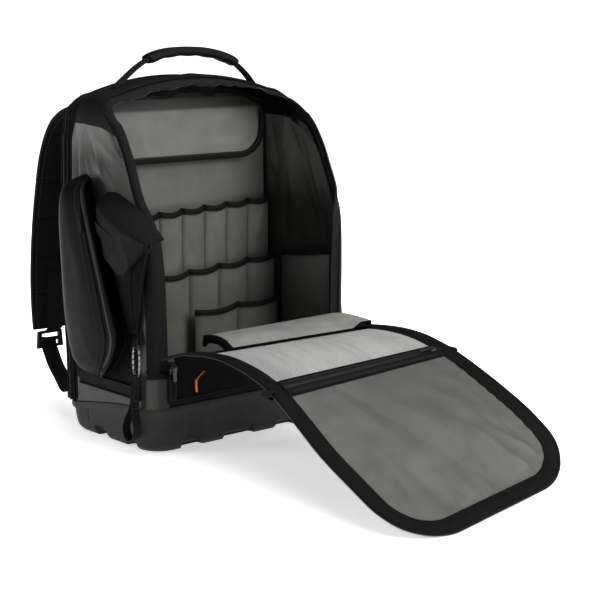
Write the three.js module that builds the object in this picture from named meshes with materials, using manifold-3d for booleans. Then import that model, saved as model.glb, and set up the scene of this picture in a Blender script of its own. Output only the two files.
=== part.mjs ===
// Tool backpack, opened: a clamshell bag on a moulded base, its front panel
// folded down and forward with its far end on the ground.
// Millimetres, +Z up. The front opening faces -Y, the wearer's side is +Y,
// +X is right seen from the front. The origin is the middle of the base's underside.
import * as THREE from "three";
import { mergeVertices } from "three/addons/utils/BufferGeometryUtils.js";
import Module from "manifold-3d";

const wasm = await Module();
wasm.setup();

// ---- driving sizes, mm -----------------------------------------------------
const GAP = 0.4; // clearance between neighbouring pieces
const HALF_W = 160; // half width over the side walls
const CORNER_R = 36; // radius of the two top corners
const SHOULDER_Z = 447; // height of the shell where the top arch starts
const ARCH_RISE = 19; // the arch's crown above that
const GUSSET_BACK_Y = 61; // where the front compartment meets the rear one
const FRONT_Y = -104; // front face
const CLOTH = 3; // padded cloth wall
const TAPE_W = 12; // visible zip tape round the opening
const TAPE_GAP = 2; // seam allowance between the wall and the tape
const ZIP_END_Z = 108; // lower ends of the main zip
const REAR_Y = 101; // rear compartment's back edge
const PAD_T = 12; // padded back
const STRAP_T = 12; // padded shoulder strap
const WEB_T = 2.4; // webbing
const HINGE_Z = 118; // top of the lower front panel, where the front panel folds
const FLAP_HALF_W = 149; // half width of the front panel over its rim
const FLAP_CORNER_R = 74;
const RIM_W = 22; // zip gusset round the front panel
const RIM_RISE = 2; // how far that gusset stands up
const SPLIT_Z = 395; // side walls below, top gusset above

// Top edge of the moulded base along y.
const BASE_TOP = [
  { y: -110, z: 61 },
  { y: -44, z: 58 },
  { y: -12, z: 54 },
  { y: 40, z: 46 },
  { y: 76, z: 40 },
  { y: 110, z: 37 },
];
// Base outline, a row for each level.
const BASE_ROWS = [
  { z: 0, halfX: 149, front: -92, back: 91, r: 30 },
  { z: 7, halfX: 155, front: -97, back: 96, r: 33 },
  { z: 30, halfX: 158.5, front: -101, back: 99, r: 34 },
  { z: 62, halfX: 161, front: -104, back: 100, r: 35 },
];
const BASE_WALL = 3.2;
const BASE_FLOOR = 4;
// Recesses between the base's feet: side -1 left, 1 right, 0 front, 2 back; centre and width along that edge.
const FOOT_RECESSES = [
  { side: 0, at: -95, width: 34, top: 13 },
  { side: 0, at: -14, width: 52, top: 14 },
  { side: 0, at: 68, width: 34, top: 13 },
  { side: -1, at: 19, width: 28, top: 15 },
  { side: -1, at: -52, width: 26, top: 13 },
  { side: 1, at: 19, width: 28, top: 15 },
  { side: 1, at: -52, width: 26, top: 13 },
  { side: 2, at: -60, width: 40, top: 13 },
  { side: 2, at: 60, width: 40, top: 13 },
];
// The opening's edge: y of the zip at each height, how far the wall turns in at
// the front corner and its radius there.
const OPENING = [
  { z: 36, y: -104, radius: 12, turnIn: 12 },
  { z: 205, y: -105, radius: 12, turnIn: 11 },
  { z: 270, y: -103, radius: 11, turnIn: 7 },
  { z: 298, y: -97, radius: 9, turnIn: 3 },
  { z: 320, y: -88, radius: 6, turnIn: 0 },
  { z: 345, y: -77, radius: 5, turnIn: 0 },
  { z: 372, y: -65, radius: 5, turnIn: 0 },
  { z: 395, y: -50, radius: 5, turnIn: 0 },
  { z: 412, y: -32, radius: 6, turnIn: 0 },
  { z: 424, y: -16, radius: 8, turnIn: 0 },
  { z: 436, y: -2, radius: 11, turnIn: 0 },
  { z: 447, y: 4, radius: 13, turnIn: 0 },
  { z: 470, y: 6, radius: 14, turnIn: 0 },
];
// Shallow folds in the side walls, a row for each: a crease through (y, z) at an angle.
const WALL_FOLDS = [
  { side: -1, y: -20, z: 330, angle: 62, width: 16, depth: 3.0 },
  { side: -1, y: 30, z: 372, angle: 80, width: 12, depth: -2.2 },
  { side: -1, y: -60, z: 250, angle: 75, width: 20, depth: 2.2 },
  { side: 1, y: -10, z: 345, angle: 70, width: 15, depth: 3.2 },
  { side: 1, y: 25, z: 300, angle: 100, width: 14, depth: -2.4 },
  { side: 1, y: -45, z: 270, angle: 55, width: 18, depth: 2.6 },
];
// Middle line of the folded-down front panel, upper face: how far it drifts
// sideways, turns about the vertical (skew) and leans to the left.
const FLAP_LINE = [
  { y: -107, z: 123, shift: 0, skew: 0, lean: 0.01 },
  { y: -128, z: 129, shift: 7, skew: -0.015, lean: 0.01 },
  { y: -152, z: 133, shift: 12.2, skew: -0.031, lean: 0 },
  { y: -199, z: 136, shift: 18.1, skew: -0.035, lean: 0 },
  { y: -245, z: 133, shift: 18, skew: -0.023, lean: 0.014 },
  { y: -286, z: 126, shift: 14.5, skew: -0.01, lean: 0.026 },
  { y: -317, z: 117, shift: 11.2, skew: -0.001, lean: 0.044 },
  { y: -360, z: 100, shift: 6.1, skew: -0.002, lean: 0.077 },
  { y: -408, z: 79.5, shift: 0.5, skew: -0.006, lean: 0.105 },
  { y: -455, z: 58.5, shift: -2.1, skew: 0.008, lean: 0.115 },
  { y: -500, z: 32.5, shift: -1.3, skew: 0.034, lean: 0.104 },
  { y: -525, z: 17.6, shift: -2.3, skew: 0.058, lean: 0.095 },
  { y: -547.4, z: 7.2, shift: -2.9, skew: 0.084, lean: 0.084 },
];
// Moulded pouch on the left side, a row for each level.
const POUCH_ROWS = [
  { z: 88, rear: 26, front: -4, out: 8 },
  { z: 94, rear: 38, front: -22, out: 17 },
  { z: 106, rear: 47, front: -40, out: 25 },
  { z: 126, rear: 54, front: -60, out: 30 },
  { z: 148, rear: 57, front: -71, out: 33.5 },
  { z: 168, rear: 59, front: -67, out: 35 },
  { z: 190, rear: 60, front: -60, out: 35.5 },
  { z: 225, rear: 61, front: -47, out: 35.5 },
  { z: 265, rear: 61, front: -31, out: 35.5 },
  { z: 298, rear: 60, front: -17, out: 34.5 },
  { z: 318, rear: 57, front: -7, out: 32 },
  { z: 331, rear: 52, front: 0, out: 27 },
  { z: 338, rear: 47, front: 6, out: 19 },
  { z: 342, rear: 42, front: 13, out: 9 },
];
// Flat pocket on the left side in front of the pouch.
const SLANT_ROWS = [
  { z: 158, rear: -60, front: -86, out: 6 },
  { z: 172, rear: -57, front: -91, out: 10 },
  { z: 205, rear: -46, front: -100, out: 15 },
  { z: 240, rear: -32, front: -111, out: 19 },
  { z: 268, rear: -22, front: -120, out: 20 },
];
// Its cover: upper edge sewn on the wall, lower edge free.
const COVER_COLS = [
  { y: -22, zTop: 329, zLow: 254, out: 21 },
  { y: -40, zTop: 327, zLow: 248, out: 25 },
  { y: -84, zTop: 311, zLow: 234, out: 28 },
  { y: -110, zTop: 296, zLow: 251, out: 28 },
  { y: -134, zTop: 279, zLow: 271, out: 25 },
];
// Mesh pocket on the right side.
const SIDE_MESH_ROWS = [
  { z: 66, rear: 20, front: -92, out: 3 },
  { z: 84, rear: 30, front: -97, out: 7 },
  { z: 120, rear: 34, front: -98, out: 10.5 },
  { z: 150, rear: 34, front: -96, out: 10.5 },
  { z: 175, rear: 32, front: -93, out: 10 },
  { z: 192, rear: 30, front: -88, out: 9 },
];
// Tool pockets on the compartment's back wall: each row's cloth hangs forward of
// the wall at y and is sewn down between its channels.
const POCKET_ROWS = [
  { name: "tool_pockets_top", y: 45, low: 190, high: 287, slope: 0.05, from: -152, to: 152, channels: 8, puff: 7 },
  { name: "tool_pockets_middle", y: 30, low: 76, high: 205, slope: 0.07, from: -151, to: 151, channels: 6, puff: 8 },
  { name: "tool_pockets_front", y: 12, low: 20, high: 152, slope: 0.04, from: -4, to: 142, channels: 2, puff: 9 },
];
// Shoulder strap, a row for each section of the left one.
const STRAP_ROWS = [
  { y: 121, z: 381, x: -58, width: 56 },
  { y: 123, z: 402, x: -59, width: 59 },
  { y: 132, z: 416, x: -62.5, width: 62 },
  { y: 151, z: 421, x: -67.5, width: 65 },
  { y: 174, z: 414, x: -72.5, width: 67 },
  { y: 194, z: 396, x: -77.5, width: 68 },
  { y: 208, z: 358, x: -83.5, width: 69 },
  { y: 215, z: 302, x: -89.5, width: 69 },
  { y: 220, z: 244, x: -93.5, width: 69 },
  { y: 224, z: 185, x: -95.5, width: 68 },
  { y: 225, z: 142, x: -96.5, width: 65 },
  { y: 225, z: 109, x: -98, width: 59 },
];
// Adjusting webbing from the buckle to the base's rear corner, left side.
const LOWER_WEB_ROWS = [
  { y: 220, z: 80, x: -106, width: 25 },
  { y: 201, z: 60, x: -109, width: 25 },
  { y: 174, z: 45, x: -114, width: 25 },
  { y: 146, z: 39, x: -124, width: 25 },
  { y: 124, z: 41, x: -133, width: 25 },
  { y: 112, z: 46, x: -137, width: 25 },
];
const HANDLE_ROWS = [
  { x: -113, z: 453.6 },
  { x: -98, z: 465 },
  { x: -78, z: 479.5 },
  { x: -58, z: 490 },
  { x: -32, z: 496.8 },
  { x: 0, z: 499 },
  { x: 30, z: 497.6 },
  { x: 60, z: 491.8 },
  { x: 83, z: 482.5 },
  { x: 103, z: 467 },
  { x: 116, z: 453.2 },
];
const HANDLE_Y = 34;
const HANDLE_W = 14;

// ---- small helpers ---------------------------------------------------------
const V = (x, y, z) => new THREE.Vector3(x, y, z);
const lerp = (a, b, t) => a + (b - a) * t;
const clamp = (x, a, b) => Math.min(b, Math.max(a, x));
const rad = (d) => (d * Math.PI) / 180;
// Smooth value of a table's column at x along its key column.
function at(table, key, x, col) {
  const up = table[table.length - 1][key] > table[0][key] ? 1 : -1;
  let i = 0;
  while (i < table.length - 2 && up * table[i + 1][key] < up * x) i++;
  const r = (k) => table[clamp(k, 0, table.length - 1)];
  const p = [r(i - 1), r(i), r(i + 1), r(i + 2)];
  const h = p[2][key] - p[1][key];
  const t = clamp((x - p[1][key]) / h, 0, 1);
  const slope = (a, b) => (b[key] === a[key] ? 0 : (b[col] - a[col]) / (b[key] - a[key]));
  const m0 = slope(p[0], p[2]) * h;
  const m1 = slope(p[1], p[3]) * h;
  const t2 = t * t, t3 = t2 * t;
  return (2 * t3 - 3 * t2 + 1) * p[1][col] + (t3 - 2 * t2 + t) * m0 +
    (-2 * t3 + 3 * t2) * p[2][col] + (t3 - t2) * m1;
}
function fromTriangles(points, tris) {
  const g = new THREE.BufferGeometry();
  g.setAttribute("position", new THREE.Float32BufferAttribute(points.flatMap((p) => [p.x, p.y, p.z]), 3));
  let vol = 0;
  for (const [a, b, c] of tris) vol += points[a].dot(points[b].clone().cross(points[c]));
  g.setIndex(tris.flatMap(([a, b, c]) => (vol < 0 ? [a, c, b] : [a, b, c])));
  return g;
}
// A cloth wall: face(i, j) gives the outer face on a grid of nu by nv cells, the
// other face lies thick behind it. side turns the thickness to the other side.
function clothWall(face, nu, nv, thick, side = 1) {
  const grid = [];
  for (let i = 0; i <= nu; i++) {
    grid.push([]);
    for (let j = 0; j <= nv; j++) grid[i].push(face(i, j));
  }
  const g = (i, j) => grid[clamp(i, 0, nu)][clamp(j, 0, nv)];
  const points = [], tris = [];
  const index = (layer, i, j) => layer * (nu + 1) * (nv + 1) + i * (nv + 1) + j;
  for (let layer = 0; layer < 2; layer++)
    for (let i = 0; i <= nu; i++)
      for (let j = 0; j <= nv; j++) {
        const du = g(i + 1, j).clone().sub(g(i - 1, j));
        const dv = g(i, j + 1).clone().sub(g(i, j - 1));
        const n = du.cross(dv).normalize();
        points.push(g(i, j).clone().addScaledVector(n, layer * thick * -side));
      }
  const quad = (a, b, c, d) => tris.push([a, b, c], [a, c, d]);
  for (let i = 0; i < nu; i++)
    for (let j = 0; j < nv; j++) {
      quad(index(0, i, j), index(0, i + 1, j), index(0, i + 1, j + 1), index(0, i, j + 1));
      quad(index(1, i, j), index(1, i, j + 1), index(1, i + 1, j + 1), index(1, i + 1, j));
    }
  for (let i = 0; i < nu; i++) {
    quad(index(0, i, 0), index(1, i, 0), index(1, i + 1, 0), index(0, i + 1, 0));
    quad(index(0, i, nv), index(0, i + 1, nv), index(1, i + 1, nv), index(1, i, nv));
  }
  for (let j = 0; j < nv; j++) {
    quad(index(0, 0, j), index(0, 0, j + 1), index(1, 0, j + 1), index(1, 0, j));
    quad(index(0, nu, j), index(1, nu, j), index(1, nu, j + 1), index(0, nu, j + 1));
  }
  return fromTriangles(points, tris);
}
// A solid through closed loops of equal length, its two ends closed.
function loft(loops) {
  const n = loops[0].length;
  const points = loops.flat().map((p) => p.clone());
  const tris = [];
  for (let i = 0; i < loops.length - 1; i++)
    for (let j = 0; j < n; j++) {
      const a = i * n + j, b = i * n + ((j + 1) % n);
      tris.push([a, b, b + n], [a, b + n, a + n]);
    }
  for (const [k, flip] of [[0, true], [loops.length - 1, false]]) {
    const c = loops[k].reduce((s, p) => s.add(p), V(0, 0, 0)).divideScalar(n);
    points.push(c);
    const m = points.length - 1;
    for (let j = 0; j < n; j++) {
      const a = k * n + j, b = k * n + ((j + 1) % n);
      tris.push(flip ? [m, b, a] : [m, a, b]);
    }
  }
  return fromTriangles(points, tris);
}
// Flat strap through rows: centre, across direction and width at each.
function strap(rows, thick) {
  return loft(rows.map((r, i) => {
    const a = rows[Math.max(0, i - 1)].c, b = rows[Math.min(rows.length - 1, i + 1)].c;
    const along = b.clone().sub(a).normalize();
    const n = along.clone().cross(r.across).normalize();
    const w = r.width / 2, t = (r.thick ?? thick) / 2, e = Math.min(t * 0.9, w * 0.4);
    return [[-w, -t + e], [-w + e, -t], [w - e, -t], [w, -t + e], [w, t - e], [w - e, t], [-w + e, t], [-w, t - e]]
      .map(([p, q]) => r.c.clone().addScaledVector(r.across, p).addScaledVector(n, q));
  }));
}
// Rounded rectangle loop, n points to a corner.
function roundedLoop(halfX, front, back, r, z, n = 5) {
  const pts = [];
  const corners = [[halfX - r, back - r, 0], [-halfX + r, back - r, 90], [-halfX + r, front + r, 180], [halfX - r, front + r, 270]];
  for (const [cx, cy, a0] of corners)
    for (let k = 0; k <= n; k++) {
      const a = rad(a0 + (90 * k) / n);
      const y = cy + r * Math.sin(a);
      pts.push(V(cx + r * Math.cos(a), y, typeof z === "function" ? z(y) : z));
    }
  return pts;
}
const solid = (g) => {
  const clean = g.clone();
  clean.deleteAttribute("normal");
  clean.deleteAttribute("uv");
  const m = mergeVertices(clean, 1e-4);
  return new wasm.Manifold(new wasm.Mesh({
    numProp: 3,
    vertProperties: new Float32Array(m.attributes.position.array),
    triVerts: new Uint32Array(m.index.array),
  }));
};
const geometryOf = (s) => {
  const m = s.getMesh();
  const g = new THREE.BufferGeometry();
  g.setAttribute("position", new THREE.Float32BufferAttribute(m.vertProperties, 3));
  g.setIndex(Array.from(m.triVerts));
  return g;
};
// A box by its corners.
const block = (x0, x1, y0, y1, z0, z1) =>
  new THREE.BoxGeometry(x1 - x0, y1 - y0, z1 - z0).translate((x0 + x1) / 2, (y0 + y1) / 2, (z0 + z1) / 2);

// ---- finishes --------------------------------------------------------------
const cloth = (color, roughness = 0.85) => new THREE.MeshStandardMaterial({ color, roughness, metalness: 0, flatShading: true });
const BLACK = 0x19191a, DARK = 0x232325, GREY = 0x5f615f, PALE = 0xb9bab8, BOOT = 0x2a2928;

const bag = new THREE.Group();
function add(name, geometry, material) {
  const mesh = new THREE.Mesh(geometry, material);
  mesh.name = name;
  bag.add(mesh);
  return mesh;
}

// ---- moulded base ----------------------------------------------------------
const baseTop = (y) => at(BASE_TOP, "y", clamp(y, -110, 110), "z");
{
  const top = (inset) => (y) => baseTop(y);
  const level = (row, inset, z) => roundedLoop(row.halfX - inset, row.front + inset, row.back - inset, row.r - inset, z);
  const outer = BASE_ROWS.slice(0, 3).map((r) => level(r, 0, r.z));
  outer.push(level(BASE_ROWS[3], 0, top(0)));
  const inner = [level(BASE_ROWS[3], BASE_WALL, top(BASE_WALL))];
  for (const r of [BASE_ROWS[2], BASE_ROWS[1]]) inner.push(level(r, BASE_WALL, Math.max(r.z, BASE_FLOOR + 3)));
  inner.push(level(BASE_ROWS[0], BASE_WALL, BASE_FLOOR));
  let base = solid(loft([...outer, ...inner]));
  const hull = solid(loft(outer));
  for (const f of FOOT_RECESSES) {
    const along = f.side === 0 || f.side === 2;
    const edge = f.side === 0 ? -92 : f.side === 2 ? 91 : f.side * 149;
    const reach = 11, wall = BASE_WALL;
    const wedge = (grow) => {
      const w = f.width / 2 + grow, t = f.top + grow, d = reach + grow;
      const loop = (z, k) => {
        const a = edge > 0 ? edge - d + k : edge - 30, b = edge > 0 ? edge + 30 : edge + d - k;
        const h = w - k;
        return along
          ? [V(f.at - h, a, z), V(f.at + h, a, z), V(f.at + h, b, z), V(f.at - h, b, z)]
          : [V(a, f.at - h, z), V(b, f.at - h, z), V(b, f.at + h, z), V(a, f.at + h, z)];
      };
      return solid(loft([loop(grow ? 0.5 : -5, 0), loop(t - 5, 0), loop(t, 5)]));
    };
    base = base.add(wedge(wall).intersect(hull)).subtract(wedge(0));
  }
  add("base_boot", geometryOf(base), cloth(BOOT, 0.6));
}

// ---- shell of the front compartment ----------------------------------------
// The shell's outline seen from the front, walked from the left foot over the top
// to the right foot: each stop has a point, an outward direction and a height.
function outline(stop) {
  if (stop.kind === "side") {
    const belly = 1.5 * Math.sin((Math.PI * clamp(stop.z - 60, 0, 350)) / 350);
    const taper = stop.z > 330 ? ((stop.z - 330) / 87) * 1.5 : 0;
    return { p: V(stop.sign * (HALF_W + belly - taper - 0.7), 0, stop.z), n: V(stop.sign, 0, 0), h: stop.z };
  }
  if (stop.kind === "corner") {
    const a = rad(stop.angle);
    const c = V(stop.sign * (HALF_W - 2 - CORNER_R), 0, SHOULDER_Z - CORNER_R);
    const n = V(stop.sign * Math.cos(a), 0, Math.sin(a));
    const p = c.addScaledVector(n, CORNER_R);
    return { p, n, h: p.z };
  }
  const span = HALF_W - 2 - CORNER_R;
  const z = SHOULDER_Z + ARCH_RISE * (1 - (stop.x / span) ** 2);
  return { p: V(stop.x, 0, z), n: V((2 * ARCH_RISE * stop.x) / span ** 2, 0, 1).normalize(), h: z };
}
// Level section of the wall from the back seam to the opening's edge: at a length
// along it, its y and how far it has turned in.
function sectionAt(h, length) {
  const yEdge = at(OPENING, "z", clamp(h, 36, 470), "y");
  const r = Math.max(1, at(OPENING, "z", clamp(h, 36, 470), "radius"));
  const turn = Math.max(0, at(OPENING, "z", clamp(h, 36, 470), "turnIn"));
  const straight = GUSSET_BACK_Y - (yEdge + r);
  const arc = (Math.PI / 2) * r;
  const total = straight + arc + turn;
  const l = clamp(length < 0 ? total + length : length, 0, total);
  if (l <= straight) return { y: GUSSET_BACK_Y - l, inward: 0, total };
  if (l <= straight + arc) {
    const a = (l - straight) / r;
    return { y: yEdge + r - r * Math.sin(a), inward: r * (1 - Math.cos(a)), total };
  }
  return { y: yEdge, inward: r + (l - straight - arc), total };
}
const foldAt = (sign, y, z) => WALL_FOLDS.reduce((s, f) => {
  if (f.side !== sign) return s;
  const a = rad(f.angle);
  const across = (y - f.y) * Math.sin(a) - (z - f.z) * Math.cos(a);
  const along = (y - f.y) * Math.cos(a) + (z - f.z) * Math.sin(a);
  return s + f.depth * Math.exp(-((across / f.width) ** 2) - (along / 70) ** 2);
}, 0);
// A point on the shell, inward by depth.
function shellPoint(stop, length, extraIn = 0) {
  const o = outline(stop);
  const s = sectionAt(o.h, length);
  let back = 0;
  if (stop.kind !== "side") back = 4 * Math.exp(-(((GUSSET_BACK_Y - s.y) / 9) ** 2));
  const edge = clamp((s.y - at(OPENING, "z", clamp(o.h, 36, 470), "y")) / 40, 0, 1);
  const fold = stop.kind === "side" ? foldAt(stop.sign, s.y, o.p.z) * edge : 0;
  const p = o.p.clone().addScaledVector(o.n, -s.inward - back - extraIn + fold);
  p.y = s.y;
  if (stop.kind === "side" && stop.foot) p.z = baseTop(s.y) + GAP;
  return p;
}
const SIDE_LEVELS = [36, 106.5, 109.5, 150, 205, 250, 280, 305, 325, 350, 372, SPLIT_Z - GAP / 2];
const sideStops = (sign) => SIDE_LEVELS.map((z, i) => ({ kind: "side", sign, z, foot: i === 0 }));
const overStops = [
  { kind: "side", sign: -1, z: SPLIT_Z + GAP / 2 },
  { kind: "side", sign: -1, z: 406 },
  ...[0, 22, 45, 68].map((angle) => ({ kind: "corner", sign: -1, angle })),
  ...[-128, -108, -80, -48, -16, 16, 48, 80, 108, 128].map((x) => ({ kind: "top", x })),
  ...[68, 45, 22, 0].map((angle) => ({ kind: "corner", sign: 1, angle })),
  { kind: "side", sign: 1, z: 406 },
  { kind: "side", sign: 1, z: SPLIT_Z + GAP / 2 },
];
const total = (stop) => sectionAt(outline(stop).h, 0).total;
const SECTION_STEPS = [0, 0.14, 0.3, 0.48, 0.66, 0.8, 0.88, 0.94, 0.97, 1];
function gusset(stops, side) {
  const n = SECTION_STEPS.length - 1;
  return clothWall((i, j) => {
    const stop = stops[i];
    const end = total(stop) - (stop.z !== undefined && stop.z < ZIP_END_Z ? 0 : TAPE_W + TAPE_GAP);
    return shellPoint(stop, end * SECTION_STEPS[j]);
  }, stops.length - 1, n, CLOTH, side);
}
add("side_wall_left", gusset(sideStops(-1), -1), cloth(GREY, 0.45));
add("side_wall_right", gusset(sideStops(1), 1), cloth(GREY, 0.45));
add("top_gusset", gusset(overStops, -1), cloth(BLACK));
// Zip tape round the opening.
{
  const stops = [
    { kind: "side", sign: -1, z: 110 },
    ...SIDE_LEVELS.slice(3).map((z) => ({ kind: "side", sign: -1, z })),
    ...overStops.slice(1, -1),
    ...SIDE_LEVELS.slice(3).reverse().map((z) => ({ kind: "side", sign: 1, z })),
    { kind: "side", sign: 1, z: 110 },
  ];
  add("opening_zip_tape", clothWall((i, j) => shellPoint(stops[i], total(stops[i]) - TAPE_W * (1 - j / 2), 0.7), stops.length - 1, 2, 1.6, -1), cloth(BLACK));
}
// Lower front panel under the opening.
const lowHalf = HALF_W - 0.7 - 24 - GAP;
add("lower_front_panel", clothWall((i, j) => {
  const x = lerp(-lowHalf, lowHalf, i / 10), t = j / 4;
  const puff = 4 * Math.sin(Math.PI * t) * Math.cos((x / lowHalf) * 1.5);
  return V(x, FRONT_Y - puff, lerp(baseTop(FRONT_Y) + GAP, HINGE_Z, t));
}, 10, 4, CLOTH, 1), cloth(BLACK));

// ---- back wall of the front compartment ------------------------------------
function tombstone(inset, zLow, y0, y1, narrowBelow = null) {
  const half = [];
  if (narrowBelow) {
    half.push([narrowBelow.half, zLow], [narrowBelow.half, narrowBelow.z]);
    half.push([HALF_W - inset, narrowBelow.z + 1]);
  } else half.push([HALF_W - inset, zLow]);
  for (const z of [150, 250, 330, 376]) half.push([HALF_W - inset - (z > 340 ? 1.6 : 0), z]);
  for (const stop of [0, 22, 45, 68].map((angle) => ({ kind: "corner", sign: 1, angle })).concat([128, 108, 80, 48, 16].map((x) => ({ kind: "top", x })))) {
    const o = outline(stop);
    const p = o.p.addScaledVector(o.n, -inset - 4.6);
    half.push([p.x, p.z]);
  }
  const loop = half.concat(half.slice().reverse().map(([x, z]) => [-x, z]));
  const shape = new THREE.Shape(loop.map(([x, z]) => new THREE.Vector2(x, z)));
  const g = new THREE.ExtrudeGeometry(shape, { depth: y1 - y0, bevelEnabled: false });
  return g.applyMatrix4(new THREE.Matrix4().makeBasis(V(1, 0, 0), V(0, 0, 1), V(0, -1, 0))).translate(0, y1, 0);
}
const BACK_WALL_Y = 57;
add("back_wall", tombstone(CLOTH + 1.6, 6, BACK_WALL_Y, BACK_WALL_Y + CLOTH, { half: 146, z: 66 }), cloth(GREY));

// ---- rear compartment and padded back --------------------------------------
{
  const levels = [30, 110, 190, 270, 340, 395];
  const stops = [
    ...levels.map((z, i) => ({ kind: "side", sign: -1, z, foot: i === 0 })),
    ...overStops.slice(2, -2),
    ...levels.slice().reverse().map((z, i) => ({ kind: "side", sign: 1, z, foot: i === levels.length - 1 })),
  ];
  const y0 = GUSSET_BACK_Y + 1.6, steps = [0, 0.12, 0.4, 0.62, 0.8, 0.92, 1];
  add("rear_gusset", clothWall((i, j) => {
    const o = outline(stops[i]);
    const y = lerp(y0, REAR_Y, steps[j]);
    const seam = 3.5 * Math.exp(-(((y - y0) / 5) ** 2));
    const roll = 14 * (1 - Math.sqrt(1 - Math.max(0, (y - 71) / 31) ** 2));
    const p = o.p.clone().addScaledVector(o.n, -seam - roll - (stops[i].kind === "side" ? 0 : 5 * steps[j]));
    p.y = y;
    if (stops[i].foot) p.z = baseTop(Math.min(y, 100)) + GAP;
    return p;
  }, stops.length - 1, steps.length - 1, CLOTH, -1), cloth(BLACK));
  add("back_panel", tombstone(22, 60, REAR_Y + GAP, REAR_Y + GAP + PAD_T), cloth(DARK, 0.95));
}

// ---- shoulder straps, webbing and buckles ----------------------------------
for (const [side, sign] of [["left", 1], ["right", -1]]) {
  const X = V(1, 0, 0);
  const rows = STRAP_ROWS.map((r) => ({ c: V(r.x * sign, r.y, r.z), across: X, width: r.width }));
  add("shoulder_strap_" + side, strap(rows, STRAP_T), cloth(DARK, 0.95));
  const web = LOWER_WEB_ROWS.map((r) => ({ c: V(r.x * sign, r.y, r.z), across: V(1, 0, 0), width: r.width }));
  add("strap_webbing_" + side, strap(web, WEB_T), cloth(BLACK, 0.8));
  // Ladder-lock buckle: a frame with a middle bar, its upper bar at the strap's end.
  const frame = new THREE.Shape([[-21, -12], [21, -12], [19, 12], [-19, 12]].map(([x, z]) => new THREE.Vector2(x, z)));
  for (const [z0, z1] of [[-8.5, -2.2], [2.2, 8.5]])
    frame.holes.push(new THREE.Path([[-14, z0], [14, z0], [13.5, z1], [-13.5, z1]].map(([x, z]) => new THREE.Vector2(x, z))));
  const buckle = new THREE.ExtrudeGeometry(frame, { depth: 4, bevelEnabled: false });
  buckle.applyMatrix4(new THREE.Matrix4().makeBasis(V(1, 0, 0), V(0, 0, 1), V(0, -1, 0)));
  buckle.translate(-103 * sign, 227, 93);
  add("strap_buckle_" + side, buckle, cloth(0x121213, 0.45));
  // Tab sewn into the base's rear corner, which holds the webbing.
  add("strap_anchor_" + side, loft([
    [V(-122 * sign, 105, 38), V(-147 * sign, 105, 38), V(-147 * sign, 107.6, 38), V(-122 * sign, 107.6, 38)],
    [V(-123 * sign, 107, 53), V(-149 * sign, 107, 53), V(-149 * sign, 109.6, 53), V(-123 * sign, 109.6, 53)],
  ]), cloth(BLACK, 0.8));
}

// ---- carry handle ----------------------------------------------------------
{
  const rows = HANDLE_ROWS.map((r) => ({ c: V(r.x, HANDLE_Y, r.z), across: V(0, 1, 0), width: HANDLE_W }));
  add("handle_webbing", strap(rows, 3), cloth(BLACK, 0.8));
  // The grip is a sleeve folded round the webbing and open along its underside.
  const mid = HANDLE_ROWS.slice(3, 9).map((r) => V(r.x, HANDLE_Y, r.z));
  const steps = 10;
  const curve = new THREE.CatmullRomCurve3(mid);
  add("handle_grip", clothWall((i, j) => {
    const t = i / steps;
    const c = curve.getPoint(t);
    const tan = curve.getTangent(t);
    const up = V(-tan.z, 0, tan.x);
    const a = rad(lerp(-125, 125, j / 8));
    const w = HANDLE_W / 2 + 2.9, h = 4.6;
    return c.addScaledVector(V(0, 1, 0), w * Math.sin(a)).addScaledVector(up, h * Math.cos(a));
  }, steps, 8, 2.2, -1), cloth(DARK, 0.8));
}

// ---- left side: moulded pouch, slanted pocket, cover, label, tape loop -------
const wallX = (side, y, z) => {
  const o = outline({ kind: "side", sign: side, z });
  return o.p.x + side * foldAt(side, y, z);
};
add("side_pouch_left", clothWall((i, j) => {
  const r = POUCH_ROWS[i];
  // Level section: out from the wall at the rear, over a crown, sharp front edge, back to the wall.
  // The front edge leans forward over its seam on the wall.
  const cols = [[0, 0, 0], [0.03, 0.42, 0], [0.1, 0.74, 0], [0.24, 0.95, 0], [0.46, 1, 0], [0.7, 0.96, 0], [0.9, 0.86, 0], [1, 0.74, 0.1], [1.0, 0.34, 0.72], [0.985, 0, 1]];
  const [a, b, back] = cols[j];
  return V(-(HALF_W + 3.6) - r.out * b, lerp(r.rear, r.front, a) + (back * 19 * r.out) / 35, r.z);
}, POUCH_ROWS.length - 1, 9, CLOTH, 1), cloth(BLACK, 0.7));
add("slant_pocket_left", clothWall((i, j) => {
  const r = SLANT_ROWS[i];
  const cols = [[0, 0.1], [0.12, 0.6], [0.35, 0.95], [0.65, 1], [0.88, 0.9], [1, 0.55], [0.93, 0.1]];
  const [a, b] = cols[j];
  return V(-(HALF_W + 3.8) - r.out * b, lerp(r.rear, Math.max(r.front, j === 6 ? -96 : -200), a), r.z);
}, SLANT_ROWS.length - 1, 6, 2, 1), cloth(BLACK));
add("pocket_cover_left", clothWall((i, j) => {
  const y = lerp(COVER_COLS[0].y, COVER_COLS[4].y, i / 8);
  const row = { zTop: at(COVER_COLS, "y", y, "zTop"), zLow: at(COVER_COLS, "y", y, "zLow"), out: at(COVER_COLS, "y", y, "out") };
  const t = [0, 0.12, 0.3, 0.55, 0.8, 1][j];
  const over = Math.sin((Math.PI / 2) * Math.min(1, t / 0.3));
  return V(-(HALF_W + 4.6) - row.out * over, y - 3 - 19 * t * (1 - i / 8) ** 1.5, lerp(row.zTop, row.zLow, t));
}, 8, 5, 2.4, -1), cloth(BLACK));
// Bare woven patch on the cover.
{
  const corner = (y, z) => {
    const out = at(COVER_COLS, "y", y, "out");
    return V(-(HALF_W + 4.6) - out - 2, y, z);
  };
  add("cover_patch", clothWall((i, j) => {
    const a = i / 4, b = j / 2;
    const y = lerp(lerp(-32, -80, a), lerp(-37, -75, a), b);
    const z = lerp(lerp(295, 277, a), lerp(279, 262, a), b);
    return corner(y, z);
  }, 4, 2, 1, -1), cloth(0x242426));
}
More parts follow.
